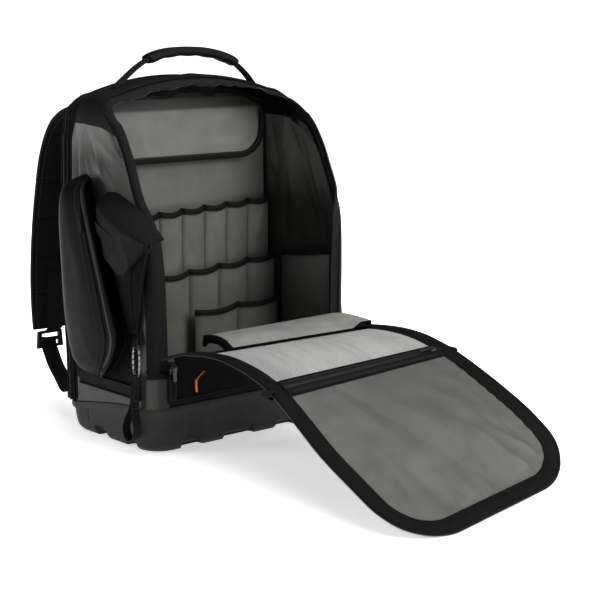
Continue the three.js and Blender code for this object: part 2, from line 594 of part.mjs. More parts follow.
// Loop of webbing on a wire clip, hung from a tab on the side wall.
{
  const x = -(HALF_W + 9);
  add("tape_loop_tab", loft([
    [V(x + 4, -94, 154), V(x + 1.4, -94, 154), V(x + 1.4, -82, 154), V(x + 4, -82, 154)],
    [V(x + 3, -93, 141), V(x + 0.4, -93, 141), V(x + 0.4, -83, 141), V(x + 3, -83, 141)],
  ]), cloth(BLACK));
  // Wire clip: an oblong ring of round wire.
  const ring = [];
  for (let k = 0; k < 24; k++) {
    const a = (k / 24) * Math.PI * 2;
    ring.push(V(0, 7 * Math.cos(a), 14 * Math.sin(a) + 7 * Math.sign(Math.sin(a)) * Math.min(1, Math.abs(Math.sin(a)) * 2)));
  }
  const bars = [];
  const R = 1.6;
  for (let k = 0; k <= 24; k++) {
    const a = (k / 24) * Math.PI * 2;
    const c = ring[k % 24], outward = V(0, Math.cos(a), Math.sin(a));
    bars.push([0, 60, 120, 180, 240, 300].map((d) => c.clone().addScaledVector(outward, R * Math.cos(rad(d))).addScaledVector(V(1, 0, 0), R * Math.sin(rad(d)))));
  }
  const pts = bars.slice(0, 24).flat(), tris = [];
  for (let k = 0; k < 24; k++)
    for (let m = 0; m < 6; m++) {
      const a = k * 6 + m, b = k * 6 + ((m + 1) % 6), a2 = ((k + 1) % 24) * 6 + m, b2 = ((k + 1) % 24) * 6 + ((m + 1) % 6);
      tris.push([a, b, b2], [a, b2, a2]);
    }
  add("tape_loop_clip", fromTriangles(pts, tris).translate(x - 2, -88, 124), new THREE.MeshStandardMaterial({ color: 0x5c5d60, roughness: 0.35, metalness: 0.9 }));
  // The webbing comes down double and ends in an open loop.
  const path = [
    { y: -88, z: 99 }, { y: -87, z: 80 }, { y: -83, z: 58 }, { y: -86, z: 46 }, { y: -88, z: 34 }, { y: -84, z: 23 }, { y: -76, z: 19 },
    { y: -67, z: 23 }, { y: -64, z: 34 }, { y: -68, z: 46 }, { y: -75, z: 56 },
  ];
  add("tape_loop_webbing", strap(path.map((p) => ({ c: V(x - 2.4, p.y, p.z), across: V(1, 0, 0), width: 12 })), 2.4), cloth(BLACK, 0.8));
}

// ---- right side: mesh pocket ------------------------------------------------
add("mesh_pocket_right", clothWall((i, j) => {
  const r = SIDE_MESH_ROWS[i];
  const cols = [[0, 0.05], [0.06, 0.6], [0.2, 0.92], [0.5, 1], [0.8, 0.92], [0.94, 0.6], [1, 0.05]];
  const [a, b] = cols[j];
  return V(HALF_W + 4 + r.out * b, lerp(r.rear, r.front, a), r.z);
}, SIDE_MESH_ROWS.length - 1, 6, 2, -1), cloth(BLACK));

// ---- inside: arched cover, tool pockets, wall pocket -------------------------
add("arched_cover", clothWall((i, j) => {
  const t = j / 5;
  const zTop = 436;
  const half = 146;
  const x = lerp(-half, half, i / 12);
  const r = 42, e = Math.max(0, Math.abs(x) - (half - r));
  const zLow = 352 + (r - Math.sqrt(Math.max(0, r * r - e * e)));
  const zHigh = zTop - (Math.abs(x) > 120 ? (Math.abs(x) - 120) * 0.45 : 0);
  return V(x, BACK_WALL_Y - 3 - 7 * (1 - t), lerp(zLow, zHigh, t));
}, 12, 5, CLOTH, 1), cloth(GREY));
for (const row of POCKET_ROWS) {
  const per = 4, n = row.channels * per;
  add(row.name, clothWall((i, j) => {
    const x = lerp(row.from, row.to, i / n), t = j / 3;
    const bulge = row.puff * Math.sqrt(Math.abs(Math.sin((Math.PI * i) / per))) * (0.45 + 0.55 * t);
    return V(x, row.y - bulge, lerp(row.low, row.high + row.slope * x, t));
  }, n, 3, 2, 1), cloth(GREY));
}
add("wall_pocket_right", clothWall((i, j) => {
  const t = i / 6, s = j / 3;
  const y = lerp(16, -84, t);
  const z = lerp(66, lerp(219, 231, t), s);
  return V(HALF_W - 0.7 - CLOTH - 2.5 - 14 * Math.sin(Math.PI * t) ** 0.7 * (0.4 + 0.6 * s), y, z);
}, 6, 3, 2, 1), cloth(GREY));

// ---- zip sliders and end tabs -------------------------------------------------
for (const [side, sign] of [["left", -1], ["right", 1]]) {
  const x = sign * 131.5;
  const body = solid(loft([
    [V(x - 5, FRONT_Y - 1.2, 104), V(x + 5, FRONT_Y - 1.2, 104), V(x + 5, FRONT_Y - 7, 104), V(x - 5, FRONT_Y - 7, 104)],
    [V(x - 6.5, FRONT_Y - 1.2, 112), V(x + 6.5, FRONT_Y - 1.2, 112), V(x + 6.5, FRONT_Y - 8, 112), V(x - 6.5, FRONT_Y - 8, 112)],
    [V(x - 4, FRONT_Y - 1.2, 117), V(x + 4, FRONT_Y - 1.2, 117), V(x + 4, FRONT_Y - 6.5, 117), V(x - 4, FRONT_Y - 6.5, 117)],
  ]));
  add("zip_slider_" + side, geometryOf(body), new THREE.MeshStandardMaterial({ color: 0x2c2c2e, roughness: 0.35, metalness: 0.7 }));
  add("zip_end_tab_" + side, strap([100, 90, 80, 68].map((z) => ({ c: V(x, FRONT_Y - 3.2 - 2.6 * Math.sin((Math.PI * (z - 61)) / 57), z), across: V(1, 0, 0), width: 13 })), WEB_T), cloth(BLACK, 0.8));
}
add("front_zip_pull", strap([
  { x: -84, z: 97 }, { x: -92, z: 90 }, { x: -96, z: 82 }, { x: -97, z: 73 },
].map((p) => ({ c: V(p.x, FRONT_Y - 7.5, p.z), across: V(0, 1, 0), width: 3 })), 3.4), cloth(0xd9660f, 0.5));

// ---- folded-down front panel ---------------------------------------------------
const flapTable = (() => {
  let s = 0;
  return FLAP_LINE.map((r, i) => {
    if (i) s += Math.hypot(r.y - FLAP_LINE[i - 1].y, r.z - FLAP_LINE[i - 1].z);
    return { ...r, s };
  });
})();
const FLAP_LEN = flapTable[flapTable.length - 1].s;
// Point on the panel's upper face: s along it from the hinge, w across, up above it.
function flapPoint(s, w, up = 0) {
  const y = at(flapTable, "s", s, "y"), z = at(flapTable, "s", s, "z");
  const e = 2;
  const y2 = at(flapTable, "s", Math.min(FLAP_LEN, s + e), "y") - at(flapTable, "s", Math.max(0, s - e), "y");
  const z2 = at(flapTable, "s", Math.min(FLAP_LEN, s + e), "z") - at(flapTable, "s", Math.max(0, s - e), "z");
  const m = Math.hypot(y2, z2);
  const lean = at(flapTable, "s", s, "lean"), skew = at(flapTable, "s", s, "skew"), shift = at(flapTable, "s", s, "shift");
  const c = Math.sqrt(1 - lean * lean - skew * skew);
  return V(w * c + shift, y + skew * w + (z2 / m) * up, z + lean * w - (y2 / m) * up);
}
const flapHalf = (s, inset) => {
  const r = Math.max(10, FLAP_CORNER_R - inset), end = FLAP_LEN - inset;
  const d = Math.max(0, s - (end - r));
  return FLAP_HALF_W - inset - r + Math.sqrt(Math.max(0, r * r - d * d));
};
const alongFlap = (s0, s1, inset, n, squeeze = 2.2) => {
  // more stations near the far end, where the outline turns
  const stations = [];
  for (let k = 0; k <= n; k++) {
    const t = k / n;
    stations.push(lerp(s0, s1, 1 - (1 - t) ** (s1 > FLAP_LEN - 80 ? 1.35 : 1)));
  }
  return stations;
};
const PANEL_T = 4;
{
  const stations = alongFlap(2, FLAP_LEN - RIM_W, RIM_W, 20);
  add("flap_panel", clothWall((i, j) => {
    const s = stations[i];
    return flapPoint(s, flapHalf(s, RIM_W) * lerp(-1, 1, j / 8));
  }, 20, 8, PANEL_T, 1), cloth(BLACK));
}
// Zip gusset round the panel: its inner edge on the panel's edge, its outer edge raised.
{
  const stops = [];
  const straight = FLAP_LEN - FLAP_CORNER_R;
  for (let k = 0; k <= 15; k++) stops.push({ s: lerp(4, straight, k / 15), w: -1, turn: 0 });
  for (let k = 1; k < 7; k++) stops.push({ turn: (90 * k) / 7, w: -1 });
  for (let k = 0; k <= 4; k++) stops.push({ end: lerp(-1, 1, k / 4) });
  for (let k = 6; k > 0; k--) stops.push({ turn: (90 * k) / 7, w: 1 });
  for (let k = 15; k >= 0; k--) stops.push({ s: lerp(4, straight, k / 15), w: 1, turn: 0 });
  const rimPoint = (stop, inset, up) => {
    if (stop.end !== undefined) return flapPoint(FLAP_LEN - inset, stop.end * (FLAP_HALF_W - FLAP_CORNER_R), up);
    const a = rad(stop.turn ?? 0), r = FLAP_CORNER_R - inset;
    const s = stop.turn ? straight + r * Math.sin(a) : stop.s;
    return flapPoint(s, stop.w * (FLAP_HALF_W - FLAP_CORNER_R + r * Math.cos(a)), up);
  };
  add("flap_rim", clothWall((i, j) => {
    const t = j / 3;
    return rimPoint(stops[i], lerp(RIM_W - GAP, 0, t ** 0.8), lerp(0, RIM_RISE, t ** 1.4));
  }, stops.length - 1, 3, CLOTH, 1), cloth(BLACK));
}
const HEM = 1.4; // cloth skins on the panel
const skin = (name, s0, s1, inset, lift, puff, colour, n = 10, rough = 0.85) => {
  const stations = alongFlap(s0, s1, inset, n);
  add(name, clothWall((i, j) => {
    const s = stations[i], w = lerp(-1, 1, j / 8);
    const rise = puff * Math.sin((Math.PI * (s - s0)) / (s1 - s0)) * Math.cos((w * Math.PI) / 2);
    return flapPoint(s, flapHalf(s, inset) * w, lift + HEM + rise);
  }, n, 8, HEM, 1), cloth(colour, rough));
};
const MESH_START = 66, BAND_START = 186, BAND_END = 216;
skin("flap_mesh_pocket", MESH_START, BAND_START - GAP, RIM_W + 2, GAP, 5, PALE, 8);
skin("flap_zip_band", BAND_START, BAND_END, RIM_W + 2, GAP, 1, BLACK, 3);
skin("flap_zip_pocket", BAND_END + GAP, FLAP_LEN - RIM_W - 3, RIM_W + 3, GAP, 8, GREY, 14);
// Padded cover over the fold, from the opening's lower edge to the mesh pocket.
add("flap_hinge_cover", clothWall((i, j) => {
  const t = j / 4, w = lerp(lerp(-76, -99, t), lerp(120, 128, t), i / 8);
  const s = lerp(0, MESH_START - 1, t);
  const p = flapPoint(Math.max(s, 0.5), w, 0);
  const over = 7 * clamp((w - 98) / 14, 0, 1);
  const lift = lerp(20, 4.4, t) + 3 * Math.sin(Math.PI * t) + over * t;
  return V(p.x, p.y + (1 - t) * 1.5, p.z + lift);
}, 8, 4, CLOTH, -1), cloth(GREY));
for (const [side, sign] of [["left", -1], ["right", 1]]) {
  const c = flapPoint(201, sign * (FLAP_HALF_W + 4.6), RIM_RISE - 3);
  add("flap_tab_" + side, block(c.x - 2.4, c.x + 2.4, c.y - 8, c.y + 8, c.z - 7, c.z + 7), cloth(BLACK));
}

export default bag;
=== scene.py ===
import math

import bpy
import numpy as np
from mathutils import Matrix, Vector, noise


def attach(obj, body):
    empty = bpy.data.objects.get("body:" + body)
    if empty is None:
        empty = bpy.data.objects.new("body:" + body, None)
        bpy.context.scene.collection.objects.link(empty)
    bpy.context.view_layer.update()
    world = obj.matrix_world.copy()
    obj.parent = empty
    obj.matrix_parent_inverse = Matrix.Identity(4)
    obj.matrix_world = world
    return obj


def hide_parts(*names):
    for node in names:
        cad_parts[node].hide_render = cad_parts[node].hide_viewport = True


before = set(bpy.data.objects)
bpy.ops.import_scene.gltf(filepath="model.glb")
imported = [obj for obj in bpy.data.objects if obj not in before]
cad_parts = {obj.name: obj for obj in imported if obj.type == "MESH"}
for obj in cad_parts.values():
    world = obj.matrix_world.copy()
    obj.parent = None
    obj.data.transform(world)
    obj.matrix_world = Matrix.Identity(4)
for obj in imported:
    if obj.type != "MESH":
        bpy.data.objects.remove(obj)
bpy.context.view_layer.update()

MM = 0.001
scene = bpy.context.scene

# ---- camera -------------------------------------------------------------------
cam_data = bpy.data.cameras.new("camera")
cam_data.lens = 93.42
cam_data.sensor_width = 36
cam_data.clip_end = 60
camera = bpy.data.objects.new("camera", cam_data)
camera.location = (-1.2517, -1.6513, 0.547)
camera.rotation_euler = (math.radians(79.6), 0, math.radians(-40.8))
scene.collection.objects.link(camera)
scene.camera = camera

# ---- driving sizes, mm (the same as the solid model's) -------------------------
GAP = 0.4
HALF_W = 160
CORNER_R = 36
SHOULDER_Z = 447
ARCH_RISE = 19
BACK_Y = 61
FRONT_Y = -104
CLOTH = 3
TAPE_W = 12
ZIP_END_Z = 108
REAR_Y = 101
PAD_T = 12
HINGE_Z = 118
FLAP_HALF_W = 149
FLAP_CORNER_R = 74
RIM_W = 22
RIM_RISE = 2
HANDLE_Y = 34
HANDLE_W = 14
BASE_TOP = [(-110, 61), (-44, 58), (-12, 54), (40, 46), (76, 40), (110, 37)]
BASE_ROWS = [(0, 149, -92, 91, 30), (7, 155, -97, 96, 33), (30, 158.5, -101, 99, 34), (62, 161, -104, 100, 35)]
FOOT_RECESSES = [("front", -95, 34, 13), ("front", -14, 52, 14), ("front", 68, 34, 13), ("left", 19, 28, 15), ("left", -52, 26, 13),
                 ("right", 19, 28, 15), ("right", -52, 26, 13), ("back", -60, 40, 13), ("back", 60, 40, 13)]
OPENING = [(36, -104, 12, 12), (205, -105, 12, 11), (270, -103, 11, 7), (298, -97, 9, 3), (320, -88, 6, 0), (345, -77, 5, 0),
           (372, -65, 5, 0), (395, -50, 5, 0), (412, -32, 6, 0), (424, -16, 8, 0), (436, -2, 11, 0), (447, 4, 13, 0), (470, 6, 14, 0)]
FLAP_LINE = [(-107, 123, 0, 0, 0.01), (-128, 129, 7, -0.015, 0.01), (-152, 133, 12.2, -0.031, 0), (-199, 136, 18.1, -0.035, 0), (-245, 133, 18, -0.023, 0.014), (-286, 126, 14.5, -0.01, 0.026), (-317, 117, 11.2, -0.001, 0.044), (-360, 100, 6.1, -0.002, 0.077), (-408, 79.5, 0.5, -0.006, 0.105), (-455, 58.5, -2.1, 0.008, 0.115), (-500, 32.5, -1.3, 0.034, 0.104), (-525, 17.6, -2.3, 0.058, 0.095), (-547.4, 7.2, -2.9, 0.084, 0.084)]
POUCH_ROWS = [(88, 26, -4, 8), (94, 38, -22, 17), (106, 47, -40, 25), (126, 54, -60, 30), (148, 57, -71, 33.5), (168, 59, -67, 35), (190, 60, -60, 35.5), (225, 61, -47, 35.5), (265, 61, -31, 35.5), (298, 60, -17, 34.5), (318, 57, -7, 32), (331, 52, 0, 27), (338, 47, 6, 19), (342, 42, 13, 9)]
SLANT_ROWS = [(158, -60, -86, 6), (172, -57, -91, 10), (205, -46, -100, 15), (240, -32, -111, 19), (268, -22, -120, 20)]
COVER_COLS = [(-22, 329, 254, 21), (-40, 327, 248, 25), (-84, 311, 234, 28), (-110, 296, 251, 28), (-134, 279, 271, 25)]
SIDE_MESH_ROWS = [(66, 20, -92, 3), (84, 30, -97, 7), (120, 34, -98, 10.5), (150, 34, -96, 10.5), (175, 32, -93, 10), (192, 30, -88, 9)]
POCKET_ROWS = [("tool_pockets_top", 45, 190, 287, 0.05, -152, 152, 8, 7), ("tool_pockets_middle", 30, 76, 205, 0.07, -151, 151, 6, 8),
               ("tool_pockets_front", 12, 20, 152, 0.04, -4, 142, 2, 9)]
STRAP_ROWS = [(121, 381, -58, 56), (123, 402, -59, 59), (132, 416, -62.5, 62), (151, 421, -67.5, 65), (174, 414, -72.5, 67), (194, 396, -77.5, 68), (208, 358, -83.5, 69), (215, 302, -89.5, 69), (220, 244, -93.5, 69), (224, 185, -95.5, 68), (225, 142, -96.5, 65), (225, 109, -98, 59)]
LOWER_WEB_ROWS = [(220, 80, -106), (201, 60, -109), (174, 45, -114), (146, 39, -124), (124, 41, -133), (112, 46, -137)]
HANDLE_ROWS = [(-113, 453.6), (-98, 465), (-78, 479.5), (-58, 490), (-32, 496.8), (0, 499), (30, 497.6), (60, 491.8), (83, 482.5), (103, 467), (116, 453.2)]


# ---- small helpers --------------------------------------------------------------
def at(table, key, x, col):
    """Smooth value of a table's column at x along its key column."""
    k = np.array([r[key] for r in table], float)
    v = np.array([r[col] for r in table], float)
    if k[-1] < k[0]:
        k, v = k[::-1], v[::-1]
    x = np.asarray(x, float)
    n = len(k)
    i = np.clip(np.searchsorted(k, x, side="right") - 1, 0, n - 2)
    a, b = np.maximum(i - 1, 0), np.minimum(i + 2, n - 1)
    h = k[i + 1] - k[i]
    t = np.clip((x - k[i]) / h, 0, 1)
    m0 = (v[i + 1] - v[a]) / (k[i + 1] - k[a]) * h
    m1 = (v[b] - v[i]) / (k[b] - k[i]) * h
    return (2 * t**3 - 3 * t**2 + 1) * v[i] + (t**3 - 2 * t**2 + t) * m0 + (3 * t**2 - 2 * t**3) * v[i + 1] + (t**3 - t**2) * m1


def unit(a):
    return a / np.maximum(np.linalg.norm(a, axis=-1, keepdims=True), 1e-9)


def smooth(a, b, x):
    t = np.clip((np.asarray(x, float) - a) / (b - a), 0, 1)
    return t * t * (3 - 2 * t)


def spline(points, n):
    """n + 1 points along a smooth line through the given ones, evenly spaced."""
    p = np.array(points, float)
    d = np.concatenate([[0], np.cumsum(np.linalg.norm(np.diff(p, axis=0), axis=1))])
    rows = [(d[i], *p[i]) for i in range(len(p))]
    s = np.linspace(0, d[-1], max(200, n))
    q = np.stack([at(rows, 0, s, c + 1) for c in range(p.shape[1])], axis=1)
    return resample(q, n=n)


def lengths(p):
    return np.concatenate([[0], np.cumsum(np.linalg.norm(np.diff(p[:, :3], axis=0), axis=1))])


def resample(p, step=None, n=None):
    d = lengths(p)
    n = n or max(2, int(round(d[-1] / step)))
    s = np.linspace(0, d[-1], n + 1)
    return np.stack([np.interp(s, d, p[:, c]) for c in range(p.shape[1])], axis=1)


def tangents(p):
    t = np.gradient(p[:, :3], axis=0)
    return unit(t)


def ridges(a, b, rows):
    """Creases over coordinates a, b: (a, b, angle, width, length, depth)."""
    out = np.zeros(np.broadcast(a, b).shape)
    for a0, b0, ang, w, l, d in rows:
        c, s = math.cos(math.radians(ang)), math.sin(math.radians(ang))
        along = (a - a0) * c + (b - b0) * s
        across = -(a - a0) * s + (b - b0) * c
        bow = across + 0.0006 * along * along * (1 if (a0 + b0) % 2 > 1 else -1)
        out += d * np.exp(-np.abs(bow / w) ** 1.6 - (along / l) ** 2)
    return out


def creases(seed, count, a_range, b_range, angle, width, length, depth):
    rng = np.random.RandomState(seed)
    rows = []
    for _ in range(count):
        d = rng.uniform(*depth) * (1 if rng.rand() > 0.45 else -1)
        rows.append((rng.uniform(*a_range), rng.uniform(*b_range), rng.uniform(*angle), rng.uniform(*width), rng.uniform(*length), d))
    return rows


def wobble(p, scale, seed):
    """Smooth noise at points (mm), from -1 to 1."""
    flat = p.reshape(-1, 3) / scale + seed * 7.31
    return np.array([noise.noise(Vector(q)) for q in flat]).reshape(p.shape[:-1])


def grid_normals(p):
    du = np.gradient(p, axis=0)
    dv = np.gradient(p, axis=1)
    return unit(np.cross(du, dv))


# ---- meshes -----------------------------------------------------------------------
def make(name, verts, faces, mats, uv=None, face_mat=None, angle=42, body="root"):
    me = bpy.data.meshes.new(name)
    me.from_pydata((np.asarray(verts, float) * MM).tolist(), [], [tuple(int(i) for i in f) for f in faces])
    for m in mats:
        me.materials.append(m)
    if uv is not None:
        layer = me.uv_layers.new(name="UVMap")
        loop_v = np.empty(len(me.loops), np.int32)
        me.loops.foreach_get("vertex_index", loop_v)
        layer.data.foreach_set("uv", (np.asarray(uv, float)[loop_v] * MM).ravel().astype(np.float32))
    if face_mat is not None:
        me.polygons.foreach_set("material_index", np.asarray(face_mat, np.int32))
    me.polygons.foreach_set("use_smooth", np.ones(len(me.polygons), bool))
    me.update()
    me.set_sharp_from_angle(angle=math.radians(angle))
    o = bpy.data.objects.new(name, me)
    scene.collection.objects.link(o)
    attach(o, body)
    return o


def quads(nu, nv, base=0, flip=False, wrap=False):
    i, j = np.meshgrid(np.arange(nu if not wrap else nu + 1), np.arange(nv), indexing="ij")
    i2 = (i + 1) % (nu + 1) if wrap else i + 1
    w = nv + 1
    q = np.stack([i * w + j, i2 * w + j, i2 * w + j + 1, i * w + j + 1], axis=-1).reshape(-1, 4) + base
    return q[:, ::-1] if flip else q


def cloth(name, p, thick, mats, flip=False, angle=50, lining=False):
    """A cloth wall from a grid of points on its outer face. flip turns the thickness to the other side."""
    nu, nv = p.shape[0] - 1, p.shape[1] - 1
    n = grid_normals(p) * (-1 if flip else 1)
    t = np.asarray(thick, float)
    inner = p - n * (t[..., None] if t.ndim else t)
    u = np.concatenate([np.zeros((1, nv + 1)), np.cumsum(np.linalg.norm(np.diff(p, axis=0), axis=2), axis=0)])
    v = np.concatenate([np.zeros((nu + 1, 1)), np.cumsum(np.linalg.norm(np.diff(p, axis=1), axis=2), axis=1)], axis=1)
    u = np.repeat(u.mean(axis=1)[:, None], nv + 1, axis=1) if nv > 0 else u
    uv = np.stack([u, v], axis=-1).reshape(-1, 2)
    size = (nu + 1) * (nv + 1)
    verts = np.concatenate([p.reshape(-1, 3), inner.reshape(-1, 3)])
    a = quads(nu, nv, 0, flip)
    b = quads(nu, nv, size, not flip)
    w = nv + 1
    ring = [i * w for i in range(nu + 1)] + [nu * w + j for j in range(1, nv + 1)] + [i * w + nv for i in range(nu - 1, -1, -1)] + [j for j in range(nv - 1, 0, -1)]
    ring = np.array(ring)
    nxt = np.roll(ring, -1)
    rim = np.stack([nxt, ring, ring + size, nxt + size], axis=1)
    if flip:
        rim = rim[:, ::-1]
    faces = np.concatenate([a, b, rim])
    fm = None
    if lining:
        fm = np.concatenate([np.zeros(len(a)), np.ones(len(b)), np.zeros(len(rim))])
    return make(name, verts, faces, mats, uv=np.concatenate([uv, uv + 0.37]), face_mat=fm, angle=angle)


class Batch:
    """Many small solids joined in one piece."""

    def __init__(self):
        self.v, self.f, self.uv, self.n = [], [], [], 0

    def add(self, verts, faces, uv=None):
        verts = np.asarray(verts, float)
        self.v.append(verts)
        self.f.append([tuple(int(i) + self.n for i in f) for f in faces])
        self.uv.append(np.zeros((len(verts), 2)) if uv is None else np.asarray(uv, float))
        self.n += len(verts)

    def build(self, name, mat, slot, angle=45):
        if not self.v:
            return None
        return make(name, np.concatenate(self.v), [f for fs in self.f for f in fs], [mat], uv=np.concatenate(self.uv), angle=angle)


def sweep(path, across, up, section, closed=False):
    """Verts, faces and uv of a section (m by 2, across and up) carried along a path."""
    m = len(section)
    n = len(path)
    sec = np.asarray(section, float)
    if sec.ndim == 2:
        sec = np.repeat(sec[None], n, axis=0)
    v = path[:, None, :] + across[:, None, :] * sec[:, :, 0:1] + up[:, None, :] * sec[:, :, 1:2]
    d = lengths(path)
    ring = np.concatenate([[0], np.cumsum(np.linalg.norm(np.diff(sec[0], axis=0), axis=1))])
    uv = np.stack(np.meshgrid(d, ring, indexing="ij"), axis=-1).reshape(-1, 2)
    faces = []
    for i in range(n if closed else n - 1):
        k = (i + 1) % n
        for j in range(m):
            j2 = (j + 1) % m
            faces.append((i * m + j, k * m + j, k * m + j2, i * m + j2))
    if not closed:
        faces.append(tuple(range(m)))
        faces.append(tuple(range(n * m - 1, (n - 1) * m - 1, -1)))
    return v.reshape(-1, 3), faces, uv


def frames(path, hint):
    t = tangents(path)
    hint = np.broadcast_to(np.asarray(hint, float), path[:, :3].shape)
    across = unit(hint - t * np.sum(hint * t, axis=1, keepdims=True))
    up = unit(np.cross(t, across))
    return across, up


def round_section(w, h, n=14, power=2.6):
    a = np.linspace(0, 2 * math.pi, n, endpoint=False)
    c, s = np.cos(a), np.sin(a)
    return np.stack([w / 2 * np.sign(c) * np.abs(c) ** (2 / power), h / 2 * np.sign(s) * np.abs(s) ** (2 / power)], axis=1)


def tape(batch, path, hint, width, thick, closed=False, n=12, power=5, lift=0.0):
    path = np.asarray(path, float)[:, :3]
    across, up = frames(path, hint)
    v, f, uv = sweep(path + up * lift, across, up, round_section(width, thick, n, power), closed)
    batch.add(v, f, uv)


def piping(batch, path, r, closed=False, sides=8, hint=(0.31, 0.2, 0.93)):
    path = np.asarray(path, float)[:, :3]
    across, up = frames(path, hint)
    v, f, uv = sweep(path, across, up, round_section(2 * r, 2 * r, sides, 2), closed)
    batch.add(v, f, uv)


def coil(batch, path, hint, width, height=1.3, pitch=2.1):
    """Zip coil: a row of small rounded loops across the path."""
    p = resample(np.concatenate([path[:, :3], np.broadcast_to(hint, path[:, :3].shape)], axis=1), step=pitch)
    c = p[:, :3]
    across, up = frames(c, p[:, 3:])
    t = tangents(c)
    w, b = width / 2, pitch * 0.31
    prof = [(-w, -b, 0), (-w, b, 0), (-w, b, height * 0.6), (-w, -b, height * 0.6), (0, b * 0.75, height), (0, -b * 0.75, height),
            (w, -b, 0), (w, b, 0), (w, b, height * 0.6), (w, -b, height * 0.6)]
    faces = [(0, 1, 2, 3), (6, 9, 8, 7), (3, 2, 4, 5), (5, 4, 8, 9), (0, 3, 5, 9, 6), (1, 7, 8, 4, 2), (0, 6, 7, 1)]
    for k in range(len(c)):
        v = [c[k] + across[k] * x + t[k] * y + up[k] * z for x, y, z in prof]
        batch.add(v, faces)


def stitch(batch, path, normal, size=3.4, space=1.5, r=0.42, lift=0.12):
    """A row of stitches along a path on a surface."""
    path = np.asarray(path, float)
    nrm = np.broadcast_to(np.asarray(normal, float), path[:, :3].shape)
    p = resample(np.concatenate([path[:, :3], nrm], axis=1), step=(size + space) / 4)
    i = 0
    c, nn = p[:, :3], unit(p[:, 3:])
    while i + 3 < len(c):
        a, b = c[i], c[i + 3]
        t = unit(b - a)
        up = nn[i + 1]
        side = unit(np.cross(t, up))
        mid = (a + b) / 2
        v = []
        for q, (wid, hi) in ((a, (0.55, 0.1)), (mid, (1, 1)), (b, (0.55, 0.1))):
            q = q + up * lift
            v += [q - side * r * wid - up * r * 0.6, q + side * r * wid - up * r * 0.6, q + side * r * 0.55 * wid + up * r * hi, q - side * r * 0.55 * wid + up * r * hi]
        faces = [(3, 2, 1, 0), (8, 9, 10, 11)]
        for s in (0, 4):
            faces += [(s + j, s + (j + 1) % 4, s + 4 + (j + 1) % 4, s + 4 + j) for j in range(4)]
        batch.add(v, faces)
        i += 4


# ---- materials ------------------------------------------------------------------------
class Mat:
    def __init__(self, name, color, rough, metal=0.0, sheen=0.0, coat=0.0, coat_rough=0.3, spec=0.5, sheen_rough=0.4):
        self.m = bpy.data.materials.new(name)
        self.m.use_nodes = True
        self.m.diffuse_color = (*color, 1)
        self.nt = self.m.node_tree
        self.b = self.nt.nodes["Principled BSDF"]
        self.b.inputs["Base Color"].default_value = (*color, 1)
        self.b.inputs["Roughness"].default_value = rough
        self.b.inputs["Metallic"].default_value = metal
        self.b.inputs["Specular IOR Level"].default_value = spec
        self.b.inputs["Sheen Weight"].default_value = sheen
        self.b.inputs["Sheen Roughness"].default_value = sheen_rough
        self.b.inputs["Coat Weight"].default_value = coat
        self.b.inputs["Coat Roughness"].default_value = coat_rough
        self.color = color
        self.height = None

    def node(self, kind, **inputs):
        n = self.nt.nodes.new(kind)
        for k, v in inputs.items():
            n.inputs[k].default_value = v
        return n

    def link(self, a, b):
        self.nt.links.new(a, b)

    def math(self, op, a, b=None, clamp=False):
        n = self.nt.nodes.new("ShaderNodeMath")
        n.operation = op
        n.use_clamp = clamp
        for i, x in enumerate((a, b)):
            if x is None:
                continue
            if isinstance(x, (int, float)):
                n.inputs[i].default_value = x
            else:
                self.link(x, n.inputs[i])
        return n.outputs[0]

    def coords(self, uv):
        n = self.nt.nodes.new("ShaderNodeTexCoord")
        return n.outputs["UV" if uv else "Object"]

    def noise(self, scale, detail=3, rough=0.55, stretch=(1, 1, 1), uv=False, distort=0.0):
        mp = self.nt.nodes.new("ShaderNodeMapping")
        mp.inputs["Scale"].default_value = stretch
        self.link(self.coords(uv), mp.inputs["Vector"])
        n = self.node("ShaderNodeTexNoise", Scale=scale, Detail=detail, Roughness=rough, Distortion=distort)
        self.link(mp.outputs[0], n.inputs["Vector"])
        return n.outputs[0]

    def sines(self, pu, pv, mode="MULTIPLY"):
        """Sine of the uv with periods pu and pv, in metres."""
        sep = self.nt.nodes.new("ShaderNodeSeparateXYZ")
        self.link(self.coords(True), sep.inputs[0])
        out = []
        for axis, p in ((0, pu), (1, pv)):
            if p:
                s = self.math("SINE", self.math("MULTIPLY", sep.outputs[axis], math.pi * 2 / p))
                out.append(s)
        if len(out) == 1:
            return out[0]
        return self.math(mode, out[0], out[1])

    def bump(self, height, distance, strength=1.0):
        n = self.nt.nodes.new("ShaderNodeBump")
        n.inputs["Distance"].default_value = distance
        n.inputs["Strength"].default_value = strength
        self.link(height, n.inputs["Height"])
        if self.height is not None:
            self.link(self.height, n.inputs["Normal"])
        self.height = n.outputs[0]
        self.link(self.height, self.b.inputs["Normal"])

    def tint(self, value, low, high, dark=None, light=None):
        """Colour from a value: low to high of it gives dark to light."""
        r = self.nt.nodes.new("ShaderNodeValToRGB")
        r.color_ramp.elements[0].position = low
        r.color_ramp.elements[1].position = high
        c = self.color
        r.color_ramp.elements[0].color = (*(dark or tuple(x * 0.75 for x in c)), 1)
        r.color_ramp.elements[1].color = (*(light or tuple(x * 1.25 for x in c)), 1)
        self.link(value, r.inputs[0])
        self.link(r.outputs[0], self.b.inputs["Base Color"])

    def roughen(self, value, low, high):
        n = self.nt.nodes.new("ShaderNodeMapRange")
        n.inputs["To Min"].default_value = low
        n.inputs["To Max"].default_value = high
        self.link(value, n.inputs["Value"])
        self.link(n.outputs[0], self.b.inputs["Roughness"])


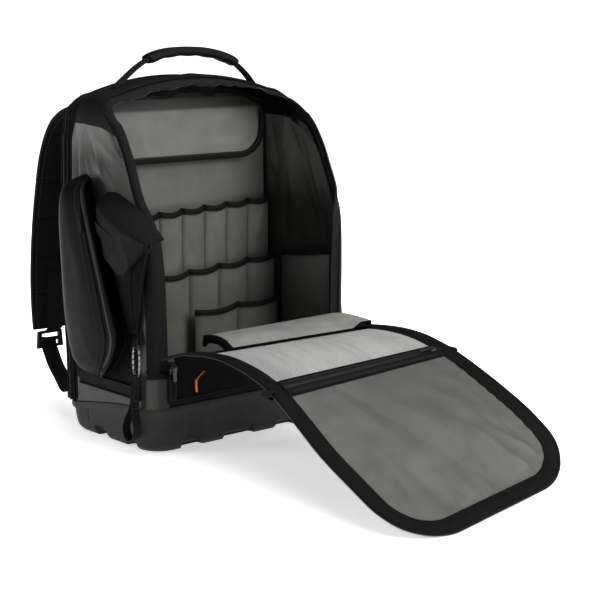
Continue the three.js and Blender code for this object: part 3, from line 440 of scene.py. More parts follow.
def woven(name, color, rough, pitch=0.0011, weave=0.00022, crease=0.0012, painted_shade=None, **kw):
    kw.setdefault("spec", 0.28)
    m = Mat(name, color, rough, **kw)
    big = m.noise(16, 4, 0.55, distort=0.6)
    m.bump(big, crease, 0.7)
    m.bump(m.noise(70, 3, 0.6, stretch=(1, 1, 0.5)), crease * 0.25, 0.6)
    w = m.sines(pitch * 2, pitch * 2)
    m.bump(w, weave, 0.8)
    mix = m.math("ADD", m.math("MULTIPLY", w, 0.16), m.math("ADD", m.math("MULTIPLY", m.noise(26, 3), 0.7), 0.15))
    m.tint(mix, 0.2, 0.85)
    if painted_shade:
        # painted shade: colour scaled by a factor that changes with height: (z0, z1, factor at z0, factor at z1)
        src = m.b.inputs["Base Color"].links[0].from_socket
        sep = m.nt.nodes.new("ShaderNodeSeparateXYZ")
        m.link(m.coords(False), sep.inputs[0])
        r = m.nt.nodes.new("ShaderNodeMapRange")
        r.interpolation_type = "SMOOTHSTEP"
        for k, v in zip(("From Min", "From Max", "To Min", "To Max"), painted_shade):
            r.inputs[k].default_value = v
        m.link(sep.outputs[2], r.inputs["Value"])
        sc = m.nt.nodes.new("ShaderNodeVectorMath")
        sc.operation = "SCALE"
        m.link(src, sc.inputs[0])
        m.link(r.outputs[0], sc.inputs["Scale"])
        m.link(sc.outputs[0], m.b.inputs["Base Color"])
    m.roughen(m.noise(120, 2), max(0.05, rough - 0.1), min(1, rough + 0.1))
    return m.m


NYLON = woven("black_nylon_woven", (0.006, 0.006, 0.0062), 0.55, spec=0.1)
BINDING = woven("black_binding", (0.0045, 0.0045, 0.0047), 0.5, pitch=0.0009, crease=0.0004, spec=0.16)
LINING = woven("grey_lining_cloth", (0.108, 0.11, 0.1), 0.5, pitch=0.001, weave=0.00012, crease=0.0016, sheen=0.04)
FLAP_GREY = woven("grey_flap_cloth", (0.095, 0.096, 0.087), 0.46, pitch=0.001, weave=0.00012, crease=0.0007, sheen=0.05, coat=0.05)
# painted shade: the back lining is darkened to 0.14 above about 0.43 m, for the shadow under the crown
LINING_BACK = woven("grey_lining_back", (0.108, 0.11, 0.1), 0.5, pitch=0.001, weave=0.00012, crease=0.0016, sheen=0.04, painted_shade=(0.429, 0.438, 1.0, 0.14))
# painted shade: the inner side lining darkens to a quarter towards the bottom, below 0.36 m, for the shade low in the
# compartment
LINING_SIDE = woven("grey_lining_side", (0.11, 0.112, 0.103), 0.42, pitch=0.001, weave=0.00012, crease=0.0022, coat=0.15, coat_rough=0.35, painted_shade=(0.28, 0.36, 0.25, 1.0))
HINGE_GREY = woven("grey_hinge_cloth", (0.2, 0.203, 0.187), 0.42, pitch=0.001, weave=0.0001, crease=0.0006, sheen=0.05)
# painted shade: the arched cover is darkened to 0.22 above about 0.42 m, painting a shadowed strip along its top
COVER_GREY = woven("grey_cover_cloth", (0.126, 0.128, 0.116), 0.42, pitch=0.001, weave=0.0001, crease=0.0006, sheen=0.05, painted_shade=(0.4175, 0.423, 1.0, 0.22))
# painted shade: the coated outer side cloth darkens to about a quarter below 0.36 m, for the shade on the lower side
SIDE_GREY = woven("grey_coated_side", (0.12, 0.121, 0.113), 0.36, pitch=0.0012, weave=0.00012, crease=0.0022, coat=0.3, coat_rough=0.25, painted_shade=(0.36, 0.402, 0.26, 1.0))
POUCH = woven("pouch_shell", (0.0035, 0.0035, 0.0036), 0.38, pitch=0.0007, weave=0.00005, crease=0.0003, spec=0.1)


def webbing_mat(name, color):
    m = Mat(name, color, 0.6, spec=0.22)
    ribs = m.sines(0.0026, None)
    m.bump(ribs, 0.00035, 0.9)
    m.bump(m.sines(None, 0.0032), 0.00018, 0.6)
    m.bump(m.noise(40, 3), 0.0004, 0.5)
    m.tint(m.math("ADD", m.math("MULTIPLY", ribs, 0.22), m.noise(60, 2)), 0.25, 0.9)
    return m.m


WEBBING = webbing_mat("webbing_ribbed", (0.008, 0.008, 0.0086))


def zip_tape_mat():
    m = Mat("zip_tape_knit", (0.0065, 0.0065, 0.007), 0.6, spec=0.22)
    k = m.sines(0.0022, 0.0014)
    m.bump(k, 0.0003, 0.9)
    m.bump(m.noise(30, 3, distort=0.4), 0.0008, 0.6)
    m.tint(m.math("ADD", m.math("MULTIPLY", k, 0.2), m.noise(40, 2)), 0.25, 0.9)
    return m.m


ZIP_TAPE = zip_tape_mat()


def coil_mat():
    m = Mat("zip_coil_nylon", (0.03, 0.03, 0.032), 0.33, spec=0.6)
    m.tint(m.noise(300, 2), 0.3, 0.7)
    m.bump(m.noise(900, 1), 0.00008, 0.5)
    return m.m


COIL = coil_mat()


def pale_mesh_mat():
    m = Mat("pale_mesh_net", (0.46, 0.46, 0.455), 0.6, sheen=0.05)
    grid = m.sines(0.0036, 0.0036)
    holes = m.math("ABSOLUTE", grid)
    m.bump(grid, 0.0004, 0.7)
    streak = m.noise(7, 4, 0.6, stretch=(0.35, 2.2, 1), uv=True, distort=0.5)
    mix = m.math("ADD", m.math("MULTIPLY", holes, -0.5), m.math("ADD", m.math("MULTIPLY", streak, 0.75), 0.38))
    m.tint(mix, 0.18, 0.86, (0.1, 0.1, 0.1), (0.42, 0.42, 0.41))
    m.bump(m.noise(22, 4, 0.6, distort=0.7), 0.0016, 0.8)
    return m.m


PALE_MESH = pale_mesh_mat()


def black_mesh_mat(name, pitch, color):
    m = Mat(name, color, 0.75, spec=0.18)
    v = m.node("ShaderNodeTexVoronoi", Scale=1 / pitch, Randomness=0.25)
    v.feature = "DISTANCE_TO_EDGE"
    m.link(m.coords(True), v.inputs["Vector"])
    m.bump(v.outputs[0], -0.0007, 1.0)
    m.tint(m.math("ADD", v.outputs[0], m.math("MULTIPLY", m.noise(20, 3), 0.3)), 0.1, 0.55, tuple(c * 1.7 for c in color), tuple(c * 0.3 for c in color))
    m.bump(m.noise(25, 3), 0.001, 0.5)
    return m.m


SPACER_MESH = black_mesh_mat("spacer_mesh", 0.0034, (0.009, 0.009, 0.0093))
NET = black_mesh_mat("pocket_net", 0.0026, (0.024, 0.024, 0.025))


def boot_mat():
    m = Mat("moulded_rubber", (0.034, 0.0335, 0.0325), 0.55, spec=0.35)
    m.bump(m.noise(1400, 2), 0.00012, 0.7)
    m.bump(m.noise(160, 3), 0.00025, 0.4)
    m.tint(m.noise(22, 5, 0.6, distort=0.5), 0.25, 0.8, (0.027, 0.0265, 0.0255), (0.046, 0.045, 0.043))
    m.roughen(m.noise(45, 4), 0.42, 0.68)
    return m.m


BOOT = boot_mat()


def hard_mat(name, color, rough, metal=0.0, grain=0.00006, spec=0.5):
    m = Mat(name, color, rough, metal=metal, spec=spec)
    m.bump(m.noise(1100, 2), grain, 0.6)
    m.tint(m.noise(60, 3), 0.25, 0.8, tuple(c * 0.85 for c in color), tuple(c * 1.15 for c in color))
    m.roughen(m.noise(90, 3), max(0.05, rough - 0.08), rough + 0.1)
    return m.m


BUCKLE = hard_mat("moulded_acetal", (0.016, 0.016, 0.0165), 0.36)
ZIP_METAL = hard_mat("dark_plated_metal", (0.11, 0.11, 0.112), 0.3, metal=0.95)
WIRE = hard_mat("plated_wire", (0.3, 0.3, 0.31), 0.28, metal=1.0)
ORANGE = hard_mat("orange_moulded", (0.78, 0.2, 0.012), 0.42, grain=0.0001)
THREAD = hard_mat("black_thread", (0.045, 0.045, 0.047), 0.6, grain=0.0001)
THREAD_GREY = hard_mat("grey_thread", (0.1, 0.1, 0.1), 0.6, grain=0.0001)

RES = 1.0


def res(n):
    return max(4, int(round(n * RES)))


# ---- the front compartment's shell --------------------------------------------------------
def side_stop(sign, z):
    belly = 1.5 * math.sin(math.pi * min(max(z - 60, 0), 350) / 350)
    taper = (z - 330) / 87 * 1.5 if z > 330 else 0
    return dict(p=(sign * (HALF_W + belly - taper - 0.7), z), n=(sign, 0), h=z, side=sign, over=float(smooth(385, 411, z)))


def corner_stop(sign, ang):
    a = math.radians(ang)
    n = (sign * math.cos(a), math.sin(a))
    return dict(p=(sign * (HALF_W - 2 - CORNER_R) + n[0] * CORNER_R, SHOULDER_Z - CORNER_R + n[1] * CORNER_R), n=n, h=SHOULDER_Z - CORNER_R + n[1] * CORNER_R, side=0, over=1.0)


def top_stop(x):
    span = HALF_W - 2 - CORNER_R
    z = SHOULDER_Z + ARCH_RISE * (1 - (x / span) ** 2)
    n = np.array([2 * ARCH_RISE * x / span**2, 1.0])
    n /= np.linalg.norm(n)
    return dict(p=(x, z), n=tuple(n), h=z, side=0, over=1.0)


def walk(z_from, step=6.0):
    """Stops from the left side at z_from over the top to the right side."""
    zs = np.linspace(z_from, SHOULDER_Z - CORNER_R, max(3, int((SHOULDER_Z - CORNER_R - z_from) / step) + 1))
    left = [side_stop(-1, z) for z in zs]
    corner = [corner_stop(-1, a) for a in range(8, 70, 8)]
    top = [top_stop(x) for x in np.linspace(-126, 126, 40)]
    right_corner = [corner_stop(1, a) for a in range(64, 0, -8)]
    right = [side_stop(1, z) for z in zs[::-1]]
    return left + corner + top + right_corner + right


def section(h, length):
    hc = min(max(h, 36), 470)
    y_edge = float(at(OPENING, 0, hc, 1))
    r = max(1.0, float(at(OPENING, 0, hc, 2)))
    turn = max(0.0, float(at(OPENING, 0, hc, 3)))
    straight = BACK_Y - (y_edge + r)
    arc = math.pi / 2 * r
    total = straight + arc + turn
    l = np.asarray(length, float)
    l = np.clip(np.where(l < 0, total + l, l), 0, total)
    a = np.clip((l - straight) / r, 0, math.pi / 2)
    y = np.where(l <= straight, BACK_Y - l, y_edge + r - r * np.sin(a))
    inward = np.where(l <= straight, 0, r * (1 - np.cos(a))) + np.maximum(0, l - straight - arc)
    return y, inward, total, y_edge


SIDE_FOLDS = {
    -1: [(-20, 330, 62, 16, 70, 3.0), (30, 372, 80, 12, 70, -2.2), (-60, 250, 75, 20, 70, 2.2),
         (38, 368, 96, 5.5, 34, 3.2), (22, 352, 70, 5, 30, 2.4), (48, 340, 88, 5, 36, -2.6), (30, 395, 110, 6, 22, 2.2), (12, 378, 60, 8, 34, -1.8),
         (-8, 352, 40, 7, 36, 1.6), (-40, 330, 50, 7, 40, -1.4), (-20, 380, 30, 6, 30, 1.4)]
    + creases(11, 12, (-70, 55), (90, 300), (30, 150), (5, 11), (16, 40), (0.5, 1.3)),
    1: [(-10, 345, 70, 15, 70, 3.2), (25, 300, 100, 14, 70, -2.4), (-45, 270, 55, 18, 70, 2.6),
        (40, 372, 78, 6, 34, 2.8), (18, 385, 100, 6, 26, -2.4), (-8, 368, 60, 6, 36, 2.2), (30, 342, 120, 7, 30, 2.0), (5, 318, 82, 6, 34, -2.4),
        (-32, 340, 72, 6, 38, 2.4), (44, 322, 60, 7, 30, 2.0), (-20, 300, 105, 7, 36, 2.2), (-50, 318, 64, 6, 40, -2.0), (15, 270, 95, 8, 36, 2.4), (-62, 285, 80, 6, 36, 1.8)]
    + creases(23, 18, (-70, 55), (90, 320), (40, 140), (5, 11), (16, 44), (0.7, 1.9)),
}
TOP_FOLDS = creases(5, 26, (-140, 140), (0, 62), (60, 120), (4, 9), (14, 34), (0.5, 1.5))


def shell_row(stop, length, extra=0.0):
    y, inward, total, y_edge = section(stop["h"], length)
    back = 4 * stop["over"] * np.exp(-(((BACK_Y - y) / 9) ** 2))
    fade = np.clip((y - y_edge) / 30, 0, 1) * np.clip((BACK_Y - y) / 8, 0.15, 1)
    px, pz = stop["p"]
    fold = np.zeros_like(y)
    if stop["side"]:
        fold = ridges(y, np.full_like(y, pz), SIDE_FOLDS[stop["side"]]) * (1 - 0.5 * stop["over"]) * smooth(56, 74, pz)
    else:
        fold = ridges(np.full_like(y, px), y, TOP_FOLDS) * 0.8
    d = -inward - back - extra + fold * fade
    return np.stack([px + stop["n"][0] * d, y, pz + stop["n"][1] * d], axis=-1)


def total_of(stop):
    return section(stop["h"], 0.0)[2]


def base_top(y):
    return at(BASE_TOP, 0, np.clip(y, -110, 110), 1)


def split_z(y):
    """Where the coated side cloth meets the black top, along the side."""
    return 410 - 3 * smooth(40, -10, y) - 14 * smooth(0, -38, y) - 26 * smooth(-30, -62, y)


def shell_grid(stops, n_sec, end_gap, foot=False, top_cut=None):
    rows = []
    q = np.linspace(0, 1, n_sec + 1)
    for s in stops:
        end = total_of(s) - (0 if s["side"] and s["h"] < ZIP_END_Z else end_gap)
        # more columns towards the rounded edge
        l = end * (0.72 * q + 0.28 * (1 - (1 - q) ** 2.2))
        rows.append(shell_row(s, l))
    return np.array(rows)


trim = Batch()  # black binding and piping
thread = Batch()
coils = Batch()
tapes = Batch()

for side, sign in (("left", -1), ("right", 1)):
    zs = np.concatenate([np.linspace(58, 112, res(16)), np.linspace(114, 411, res(84))])
    p = shell_grid([side_stop(sign, z) for z in zs], res(64), TAPE_W + 1)
    # the foot follows the base's top edge and the upper end its slanting seam
    low = base_top(p[0, :, 1]) + GAP
    cut = np.minimum(split_z(p[-1, :, 1]), p[-1, :, 2])
    z0, z1 = p[0, :, 2].copy(), p[-1, :, 2].copy()
    zz = p[:, :, 2]
    t = (zz - z0) / (z1 - z0)
    new_z = low + (cut - low) * t
    # the outline is looked up again at the moved heights, so that the wall stays on the shell
    out = np.empty_like(p)
    q = np.linspace(0, 1, p.shape[1])
    for i in range(p.shape[0]):
        for j in range(p.shape[1]):
            z = new_z[i, j]
            s = side_stop(sign, z)
            end = total_of(s) - (TAPE_W + 1) * float(smooth(ZIP_END_Z - 6, ZIP_END_Z, z))
            l = end * (0.72 * q[j] + 0.28 * (1 - (1 - q[j]) ** 2.2))
            out[i, j] = shell_row(s, np.array([l]))[0]
    o = cloth("side_cloth_" + side, out, CLOTH, [LINING_SIDE, SIDE_GREY, NYLON, BINDING], flip=(sign > 0), lining=True)
    nu_s, nv_s = out.shape[0] - 1, out.shape[1] - 1
    cy = (out[:-1, :-1, 1] + out[1:, 1:, 1]) / 2
    cz = (out[:-1, :-1, 2] + out[1:, 1:, 2]) / 2
    idx = np.zeros(len(o.data.polygons), np.int32)
    o.data.polygons.foreach_get("material_index", idx)
    panel = (cz > 77) & (cz < 262) & (cy > -83)
    idx[nu_s * nv_s : 2 * nu_s * nv_s][panel.ravel()] = 2
    gap_edge = np.array([[float(at(OPENING, 0, min(max(z, 36), 470), 1)) for z in row] for row in cz])
    facing = (cy - gap_edge < 15) & (cz > 100)
    idx[: nu_s * nv_s][facing.ravel()] = 3
    edging = (cy - gap_edge < 9) & (cz > 100)
    idx[nu_s * nv_s : 2 * nu_s * nv_s][edging.ravel()] = 3
    o.data.polygons.foreach_set("material_index", idx)
    # seam round the black side panel
    vv = np.empty(len(o.data.vertices) * 3)
    o.data.vertices.foreach_get("co", vv)
    vv = vv.reshape(-1, 3) * 1000

    def on_wall(y_, z_):
        near = np.hypot(vv[:, 1] - y_, vv[:, 2] - z_) < 6
        return (sign * ((sign * vv[near, 0]).max() + 0.5), y_, z_)

    seam_pts = []
    for y_, z_ in [(56, 77), (20, 77), (-30, 77), (-70, 77), (-80, 80), (-83, 90), (-83, 130), (-83, 180), (-83, 230), (-82, 262)]:
        seam_pts.append(on_wall(y_, z_))
    tape(trim, spline(seam_pts, 90), (0, 1, 0.6), 4.0, 1.4, n=10)
    low_band = [on_wall(y_, 78) for y_ in (53, 20, -10, -40, -65, -84)]
    tape(trim, spline(low_band, 60), (0, 0, 1), 15, 2.2, n=12)
    for dz in (-7.6, 7.6):
        piping(trim, spline([(x_ + 1.2 * sign, y_, z_ + dz) for x_, y_, z_ in low_band], 60), 1.4)
    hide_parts("side_wall_" + side)
    # piping along the slanting seam and a tape seam at the foot
    up_row = out[-1, :, :].copy()
    up_row[:, 0] += sign * 0.7
    piping(trim, resample(up_row, step=3), 1.5)
    foot = out[0, :, :].copy()
    foot[:, 2] += 4.5
    foot[:, 0] += sign * 0.9
    tape(trim, resample(foot, step=4), (0, 0, 1), 9.5, 1.6, n=10)
    foot2 = foot.copy()
    foot2[:, 2] += 3.0
    foot2[:, 0] += sign * 0.9
    stitch(thread, foot2, (sign, 0, 0))

# black top, from seam to seam over the crown
stops = walk(360, 5)
rows = []
q = np.linspace(0, 1, res(64) + 1)
for s in stops:
    end = total_of(s) - (TAPE_W + 1)
    rows.append(shell_row(s, end * (0.72 * q + 0.28 * (1 - (1 - q) ** 2.2))))
p = np.array(rows)
n_side = int((SHOULDER_Z - CORNER_R - 360) / 5) + 1
for half in (0, 1):
    idx = range(0, n_side) if half == 0 else range(len(stops) - 1, len(stops) - 1 - n_side, -1)
    sgn = -1 if half == 0 else 1
    idx = list(idx)
    for j in range(p.shape[1]):
        zcut = float(split_z(p[idx[0], j, 1])) + 1.2
        for k, i in enumerate(idx):
            z = zcut + (SHOULDER_Z - CORNER_R - zcut) * k / (n_side - 1) if zcut < SHOULDER_Z - CORNER_R else SHOULDER_Z - CORNER_R + 0.01 * k
            s = side_stop(sgn, min(z, 412))
            end = total_of(s) - (TAPE_W + 1)
            p[i, j] = shell_row(s, np.array([end * (0.72 * q[j] + 0.28 * (1 - (1 - q[j]) ** 2.2))]))[0]
# its inside is black binding cloth, painted shade for the shadowed ceiling under the crown
o = cloth("top_cloth", p, CLOTH, [NYLON, BINDING], flip=False, lining=True)
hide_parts("top_gusset")

# zip tape round the opening, with its piping and coil
stops = [s for s in walk(110, 5)]
edge = np.array([shell_row(s, np.array([total_of(s) - 0.6]), 0.9)[0] for s in stops])
inner = np.array([shell_row(s, np.array([total_of(s) - TAPE_W - 1.5]), 0.2)[0] for s in stops])
nn = len(stops)
wave = np.sin(np.linspace(0, 60, nn)) * smooth(0, 1, 1) * 0.9
grid = []
for k, s in enumerate(stops):
    row = shell_row(s, total_of(s) - TAPE_W - 1 + (TAPE_W + 1) * np.linspace(0, 1, 8), 0.4)
    over = s["over"]
    rip = (1.6 * math.sin(s["p"][0] * 0.11) + 1.1 * math.sin(s["p"][0] * 0.27 + 1)) * over
    q0 = row[0].copy()
    far = (float(smooth(284, 325, s["h"])) if s["side"] > 0 else 0.0) if s["side"] else (0.8 if s["p"][0] > 60 else 0.35)
    tq = np.linspace(0, TAPE_W + 1, 8)[:, None]
    flare = q0 + np.array([s["n"][0] * 0.22, -0.97, s["n"][1] * 0.22]) * tq
    row = row * (1 - 0.7 * far) + flare * 0.7 * far
    amt = np.linspace(0, 1, 8) ** 1.5 * rip
    row[:, 0] -= s["n"][0] * amt
    row[:, 2] -= s["n"][1] * amt
    grid.append(row)
grid = np.array(grid)
o = cloth("opening_tape", grid, 1.3, [ZIP_TAPE], flip=False)
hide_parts("opening_zip_tape")
front = np.array([shell_row(s, np.array([total_of(s) - TAPE_W - 2.2]), -1.2)[0] for s in stops])
piping(trim, resample(front, step=4), 1.7)
front2 = np.array([shell_row(s, np.array([total_of(s) - TAPE_W - 7]), -0.1)[0] for s in stops])
nrm = np.array([[s["n"][0], 0, s["n"][1]] for s in stops])
stitch(thread, front2, nrm)
mid = grid[:, 6, :].copy()
across_hint = unit(grid[:, 7, :] - grid[:, 4, :])
outward = np.cross(unit(np.gradient(mid, axis=0)), across_hint)
coil(coils, mid - outward * 0.2, across_hint, 4.6, 1.7, 2.3)
# stitch row on the tape
stitch(thread, grid[:, 2, :] + outward * 0.1, outward, size=2.6, space=1.4, r=0.36)

# ---- moulded base ---------------------------------------------------------------------------
def rounded(half, front_y, back_y, r, n_arc, step):
    pts, edge_id = [], []
    corners = [(half - r, back_y - r, 0), (-half + r, back_y - r, 90), (-half + r, front_y + r, 180), (half - r, front_y + r, 270)]
    for c, (cx, cy, a0) in enumerate(corners):
        for k in range(n_arc + 1):
            a = math.radians(a0 + 90 * k / n_arc)
            pts.append((cx + r * math.cos(a), cy + r * math.sin(a)))
        nx, ny, na = corners[(c + 1) % 4]
        a = math.radians(a0 + 90)
        p0 = np.array([cx + r * math.cos(a), cy + r * math.sin(a)])
        p1 = np.array([nx + r * math.cos(a), ny + r * math.sin(a)])
        n_line = step[c]
        for k in range(1, n_line):
            pts.append(tuple(p0 + (p1 - p0) * k / n_line))
    return np.array(pts)


n_lines = [res(120), res(76), res(120), res(76)]
FULL = rounded(160, -103, 100, 34.5, 14, n_lines)


def level(z, inset):
    half, f, b, r = (float(at(BASE_ROWS, 0, min(max(z, 0), 62), c)) for c in (1, 2, 3, 4))
    return rounded(half - inset, f + inset, b - inset, max(2, r - inset), 14, n_lines)


def recess_mask():
    m = np.zeros(len(FULL))
    top = np.zeros(len(FULL))
    for side, pos, width, tz in FOOT_RECESSES:
        if side in ("front", "back"):
            on = (FULL[:, 1] < -80) if side == "front" else (FULL[:, 1] > 80)
            d = np.abs(FULL[:, 0] - pos)
        else:
            on = (FULL[:, 0] < -140) if side == "left" else (FULL[:, 0] > 140)
            d = np.abs(FULL[:, 1] - pos)
        k = np.where(on, 1 - smooth(width / 2 - 3.2, width / 2 + 1.2, d), 0)
        top = np.where(k > 0.001, tz, top)
        m = np.maximum(m, k)
    return m, np.where(top == 0, 14, top)


mask, tops = recess_mask()
levels = []
for inset in (75, 45, 26, 16):
    p = level(0, inset)
    levels.append(np.column_stack([p, np.zeros(len(p))]))
REACH = 11
for q in np.linspace(0, 1, 15):
    # plain foot: along the underside, then up the side; recess: up its back wall, then out along its roof
    p_plain = np.zeros((len(FULL), 3))
    p_cut = np.zeros((len(FULL), 3))
    if q < 0.45:
        inset, z = REACH * (1 - q / 0.45), 0.0
        p_plain[:, :2] = level(0, inset)
    else:
        z = (q - 0.45) / 0.55 * 15
        p_plain[:, :2] = level(z, 0)
        p_plain[:, 2] = z
    k = min(1.0, q / 0.5)
    cut_in = REACH if q <= 0.5 else REACH * (1 - (q - 0.5) / 0.5)
    p_cut[:, :2] = level(15 * k if q > 0.5 else 0, cut_in)
    p_cut[:, 2] = tops * k
    if q == 1:
        p_plain[:, 2] = np.where(mask > 0.001, tops, 15)
    levels.append(p_plain * (1 - mask[:, None]) + p_cut * mask[:, None])
for z in (18, 24, 31, 38, 45):
    p = level(z, 0)
    levels.append(np.column_stack([p, np.full(len(p), z * 1.0)]))
top_line = base_top(FULL[:, 1])
for drop, out in ((9.5, 0.0), (8.2, 0.4), (7.2, 1.3), (5.8, 1.7), (2.0, 1.7), (0.7, 1.3), (0.0, 0.2)):
    p = level(62, -out)
    levels.append(np.column_stack([p, top_line - drop]))
for inset, drop in ((BASE_IN := 3.4, 0.0), (3.6, 6.0)):
    p = level(62, inset)
    levels.append(np.column_stack([p, top_line - drop]))
for inset, z in ((3.4, 24.0), (6, 8.0), (12, 4.2), (60, 4.0)):
    p = level(z, inset)
    levels.append(np.column_stack([p, np.full(len(p), z)]))
# the front face's shallow moulded panels and soft vertical ribs
for L in levels[19:25]:
    on = L[:, 1] < -90
    x = L[:, 0]
    panel = 1.3 * smooth(2, 5, np.abs(np.abs(x + 8) - 92)) - 1.3
    L[:, 1] += np.where(on, -panel * 0.9, 0)
    side = np.abs(L[:, 0]) > 150
    y = L[:, 1]
    panel = 1.2 * smooth(1.5, 4.5, np.abs(np.abs(y + 4) - 46)) - 1.2
    L[:, 0] += np.where(side, -np.sign(L[:, 0]) * -panel * 0.8, 0)
n_ring = len(FULL)
verts = np.concatenate(levels)
faces = []
for i in range(len(levels) - 1):
    a = i * n_ring + np.arange(n_ring)
    b = i * n_ring + (np.arange(n_ring) + 1) % n_ring
    faces.append(np.stack([a, b, b + n_ring, a + n_ring], axis=1))
faces = np.concatenate(faces)
faces = [tuple(f) for f in faces] + [tuple(range(n_ring))[::-1], tuple(range((len(levels) - 1) * n_ring, len(levels) * n_ring))]
perim = lengths(np.column_stack([FULL, np.zeros(n_ring)]))
uv = np.concatenate([np.column_stack([perim, L[:, 2]]) for L in levels])
o = make("boot_shell", verts, faces, [BOOT], uv=uv, angle=33)
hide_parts("base_boot")

# ---- lower front panel under the opening -------------------------------------------------------
low_half = HALF_W - 0.7 - 24 - GAP
nx, nz = res(90), res(22)
X = np.linspace(-low_half, low_half, nx + 1)[:, None] * np.ones(nz + 1)
T = np.ones(nx + 1)[:, None] * np.linspace(0, 1, nz + 1)
foot = float(base_top(FRONT_Y)) + GAP
Y = FRONT_Y - 4 * np.sin(np.pi * T) * np.cos(X / low_half * 1.5) - ridges(X, foot + T * 56, creases(9, 12, (-120, 120), (62, 118), (50, 130), (5, 12), (12, 34), (0.5, 1.6))) * np.sin(np.pi * T)
Z = foot + (HINGE_Z - foot) * T
o = cloth("lower_panel", np.stack([X, Y, Z], axis=-1), CLOTH, [NYLON, LINING], lining=True)
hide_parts("lower_front_panel")
line = np.array([[x, FRONT_Y - 0.6, foot + 4.5] for x in np.linspace(-low_half, low_half, 60)])
tape(trim, line, (0, 0, 1), 9, 1.6, n=10)
stitch(thread, line + np.array([0, -1.0, 3.0]), (0, -1, 0))


# ---- flat walls: back wall, padded back, arched cover ---------------------------------------------
def z_top(x, inset):
    """Height of the shell's outline less an inset, over x."""
    ax = np.abs(x)
    span = HALF_W - 2 - CORNER_R
    arch = SHOULDER_Z + ARCH_RISE * (1 - (ax / span) ** 2) - inset
    r = CORNER_R - inset
    c = np.sqrt(np.maximum(0, r * r - np.clip(ax - span, 0, r) ** 2)) + SHOULDER_Z - CORNER_R
    return np.where(ax < span - 4, arch, np.minimum(arch, c))


def columns(half, n, tight=1.0):
    a = np.linspace(-1, 1, n + 1)
    return half * np.sign(a) * (1 - (1 - np.abs(a)) ** 1.5)


X1 = columns(154.0, res(80))
nv = res(70)
T = np.linspace(0, 1, nv + 1)
P = np.zeros((len(X1), nv + 1, 3))
for i, x in enumerate(X1):
    zt = float(z_top(x, 9.4))
    z = 8 + (zt - 8) * T
    half_low = np.where(z < 66, 146.0 / 154.0, 1.0)
    P[i, :, 0] = x * (1 - (1 - half_low) * smooth(74, 60, z))
    P[i, :, 2] = z
P[:, :, 1] = 57.2 - 1.1 * wobble(P, 60, 2) - 0.8 * ridges(P[:, :, 0], P[:, :, 2], creases(31, 16, (-140, 140), (200, 440), (0, 180), (8, 20), (30, 60), (0.5, 1.6)))
o = cloth("back_lining", P, CLOTH - 0.4, [LINING_BACK], flip=False)
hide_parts("back_wall")

# padded back, in quilted fields
X1 = columns(137.5, res(96))
nv = res(120)
T = np.linspace(0, 1, nv + 1)
P = np.zeros((len(X1), nv + 1, 3))
for i, x in enumerate(X1):
    zt = float(z_top(x * 154 / 137.5, 26.0))
    P[i, :, 0] = x
    P[i, :, 2] = 60 + (zt - 60) * T
ex, ez = P[:, :, 0], P[:, :, 2]
edge = np.minimum(smooth(137.5, 122, np.abs(ex)), smooth(60, 76, ez))
edge = edge * smooth(0, 16, (P[:, -1:, 2] - ez))
pads = np.ones_like(ex)
pads *= smooth(3, 16, np.abs(np.abs(ex) - 16))
for zq in (150, 240, 330):
    pads *= smooth(2.5, 13, np.abs(ez - zq - 0.12 * np.abs(ex)))
P[:, :, 1] = REAR_Y + GAP + 4.5 + edge * (4.0 + 3.6 * pads ** 0.8)
o = cloth("back_pad", P, np.full(P.shape[:2], 3.6), [SPACER_MESH, NYLON], flip=True, lining=True)
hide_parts("back_panel")
border = np.concatenate([P[0, :, :], P[1:, -1, :], P[-1, ::-1, :][1:]])
tape(trim, resample(border, step=5), (0, 1, 0), 6.5, 3.4, n=10)

# black band of lining that hangs in waves under the crown, in front of the back wall; its black is partly the band's
# own colour and partly painted shade of the shadowed ceiling
nx, nv = res(120), res(16)
x = np.linspace(-139, 139, nx + 1)
T = np.linspace(0, 1, nv + 1)
P = np.zeros((nx + 1, nv + 1, 3))
ceil = z_top(x, 12.0)
low = 441.0 + 2.2 * np.sin(x * 0.075 + 0.5) + 1.4 * np.sin(x * 0.19 + 2) - 16 * smooth(96, 139, np.abs(x)) ** 1.2
low = np.minimum(low, ceil - 4)
P[:, :, 0] = x[:, None]
P[:, :, 2] = ceil[:, None] + (low - ceil)[:, None] * T[None, :]
P[:, :, 1] = 36 + 10 * T[None, :] + 3.5 * np.sin(x * 0.11)[:, None] * T[None, :] + 1.6 * np.sin(x * 0.31 + 1)[:, None] * T[None, :]
o = cloth("crown_lining", P, 1.2, [BINDING], flip=True)

# arched cover over the top of the back wall
nx, nv = res(96), res(40)
x = np.linspace(-146, 146, nx + 1)
T = np.linspace(0, 1, nv + 1)
r = 42
e = np.maximum(0, np.abs(x) - (146 - r))
z_low = 352 + (r - np.sqrt(np.maximum(0, r * r - e * e)))
z_high = 436 - np.where(np.abs(x) > 120, (np.abs(x) - 120) * 0.45, 0)
P = np.zeros((nx + 1, nv + 1, 3))
P[:, :, 0] = x[:, None]
P[:, :, 2] = z_low[:, None] + (z_high - z_low)[:, None] * T
P[:, :, 1] = 54 - 7 * (1 - T) - 0.9 * ridges(P[:, :, 0], P[:, :, 2], creases(44, 12, (-130, 130), (356, 430), (-20, 25), (6, 14), (30, 70), (0.4, 1.3))) * np.sin(np.pi * np.clip(T, 0.02, 1))
o = cloth("arched_cover_cloth", P, CLOTH, [COVER_GREY], flip=False)
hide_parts("arched_cover")
low = P[:, 0, :].copy()
low = np.concatenate([[low[0] + (0, 0, 26)], low, [low[-1] + (0, 0, 26)]])
hint = unit(np.column_stack([-np.gradient(low[:, 2]), np.zeros(len(low)), np.gradient(low[:, 0])]))
low_b = low + hint * 3.2 + np.array([0, -1.3, 0])
tape(trim, low_b, hint, 8.5, 4.6, n=12, power=3.4)
stitch(thread, low + hint * 6.2 + np.array([0, -3.7, 0]), (0, -1, 0))

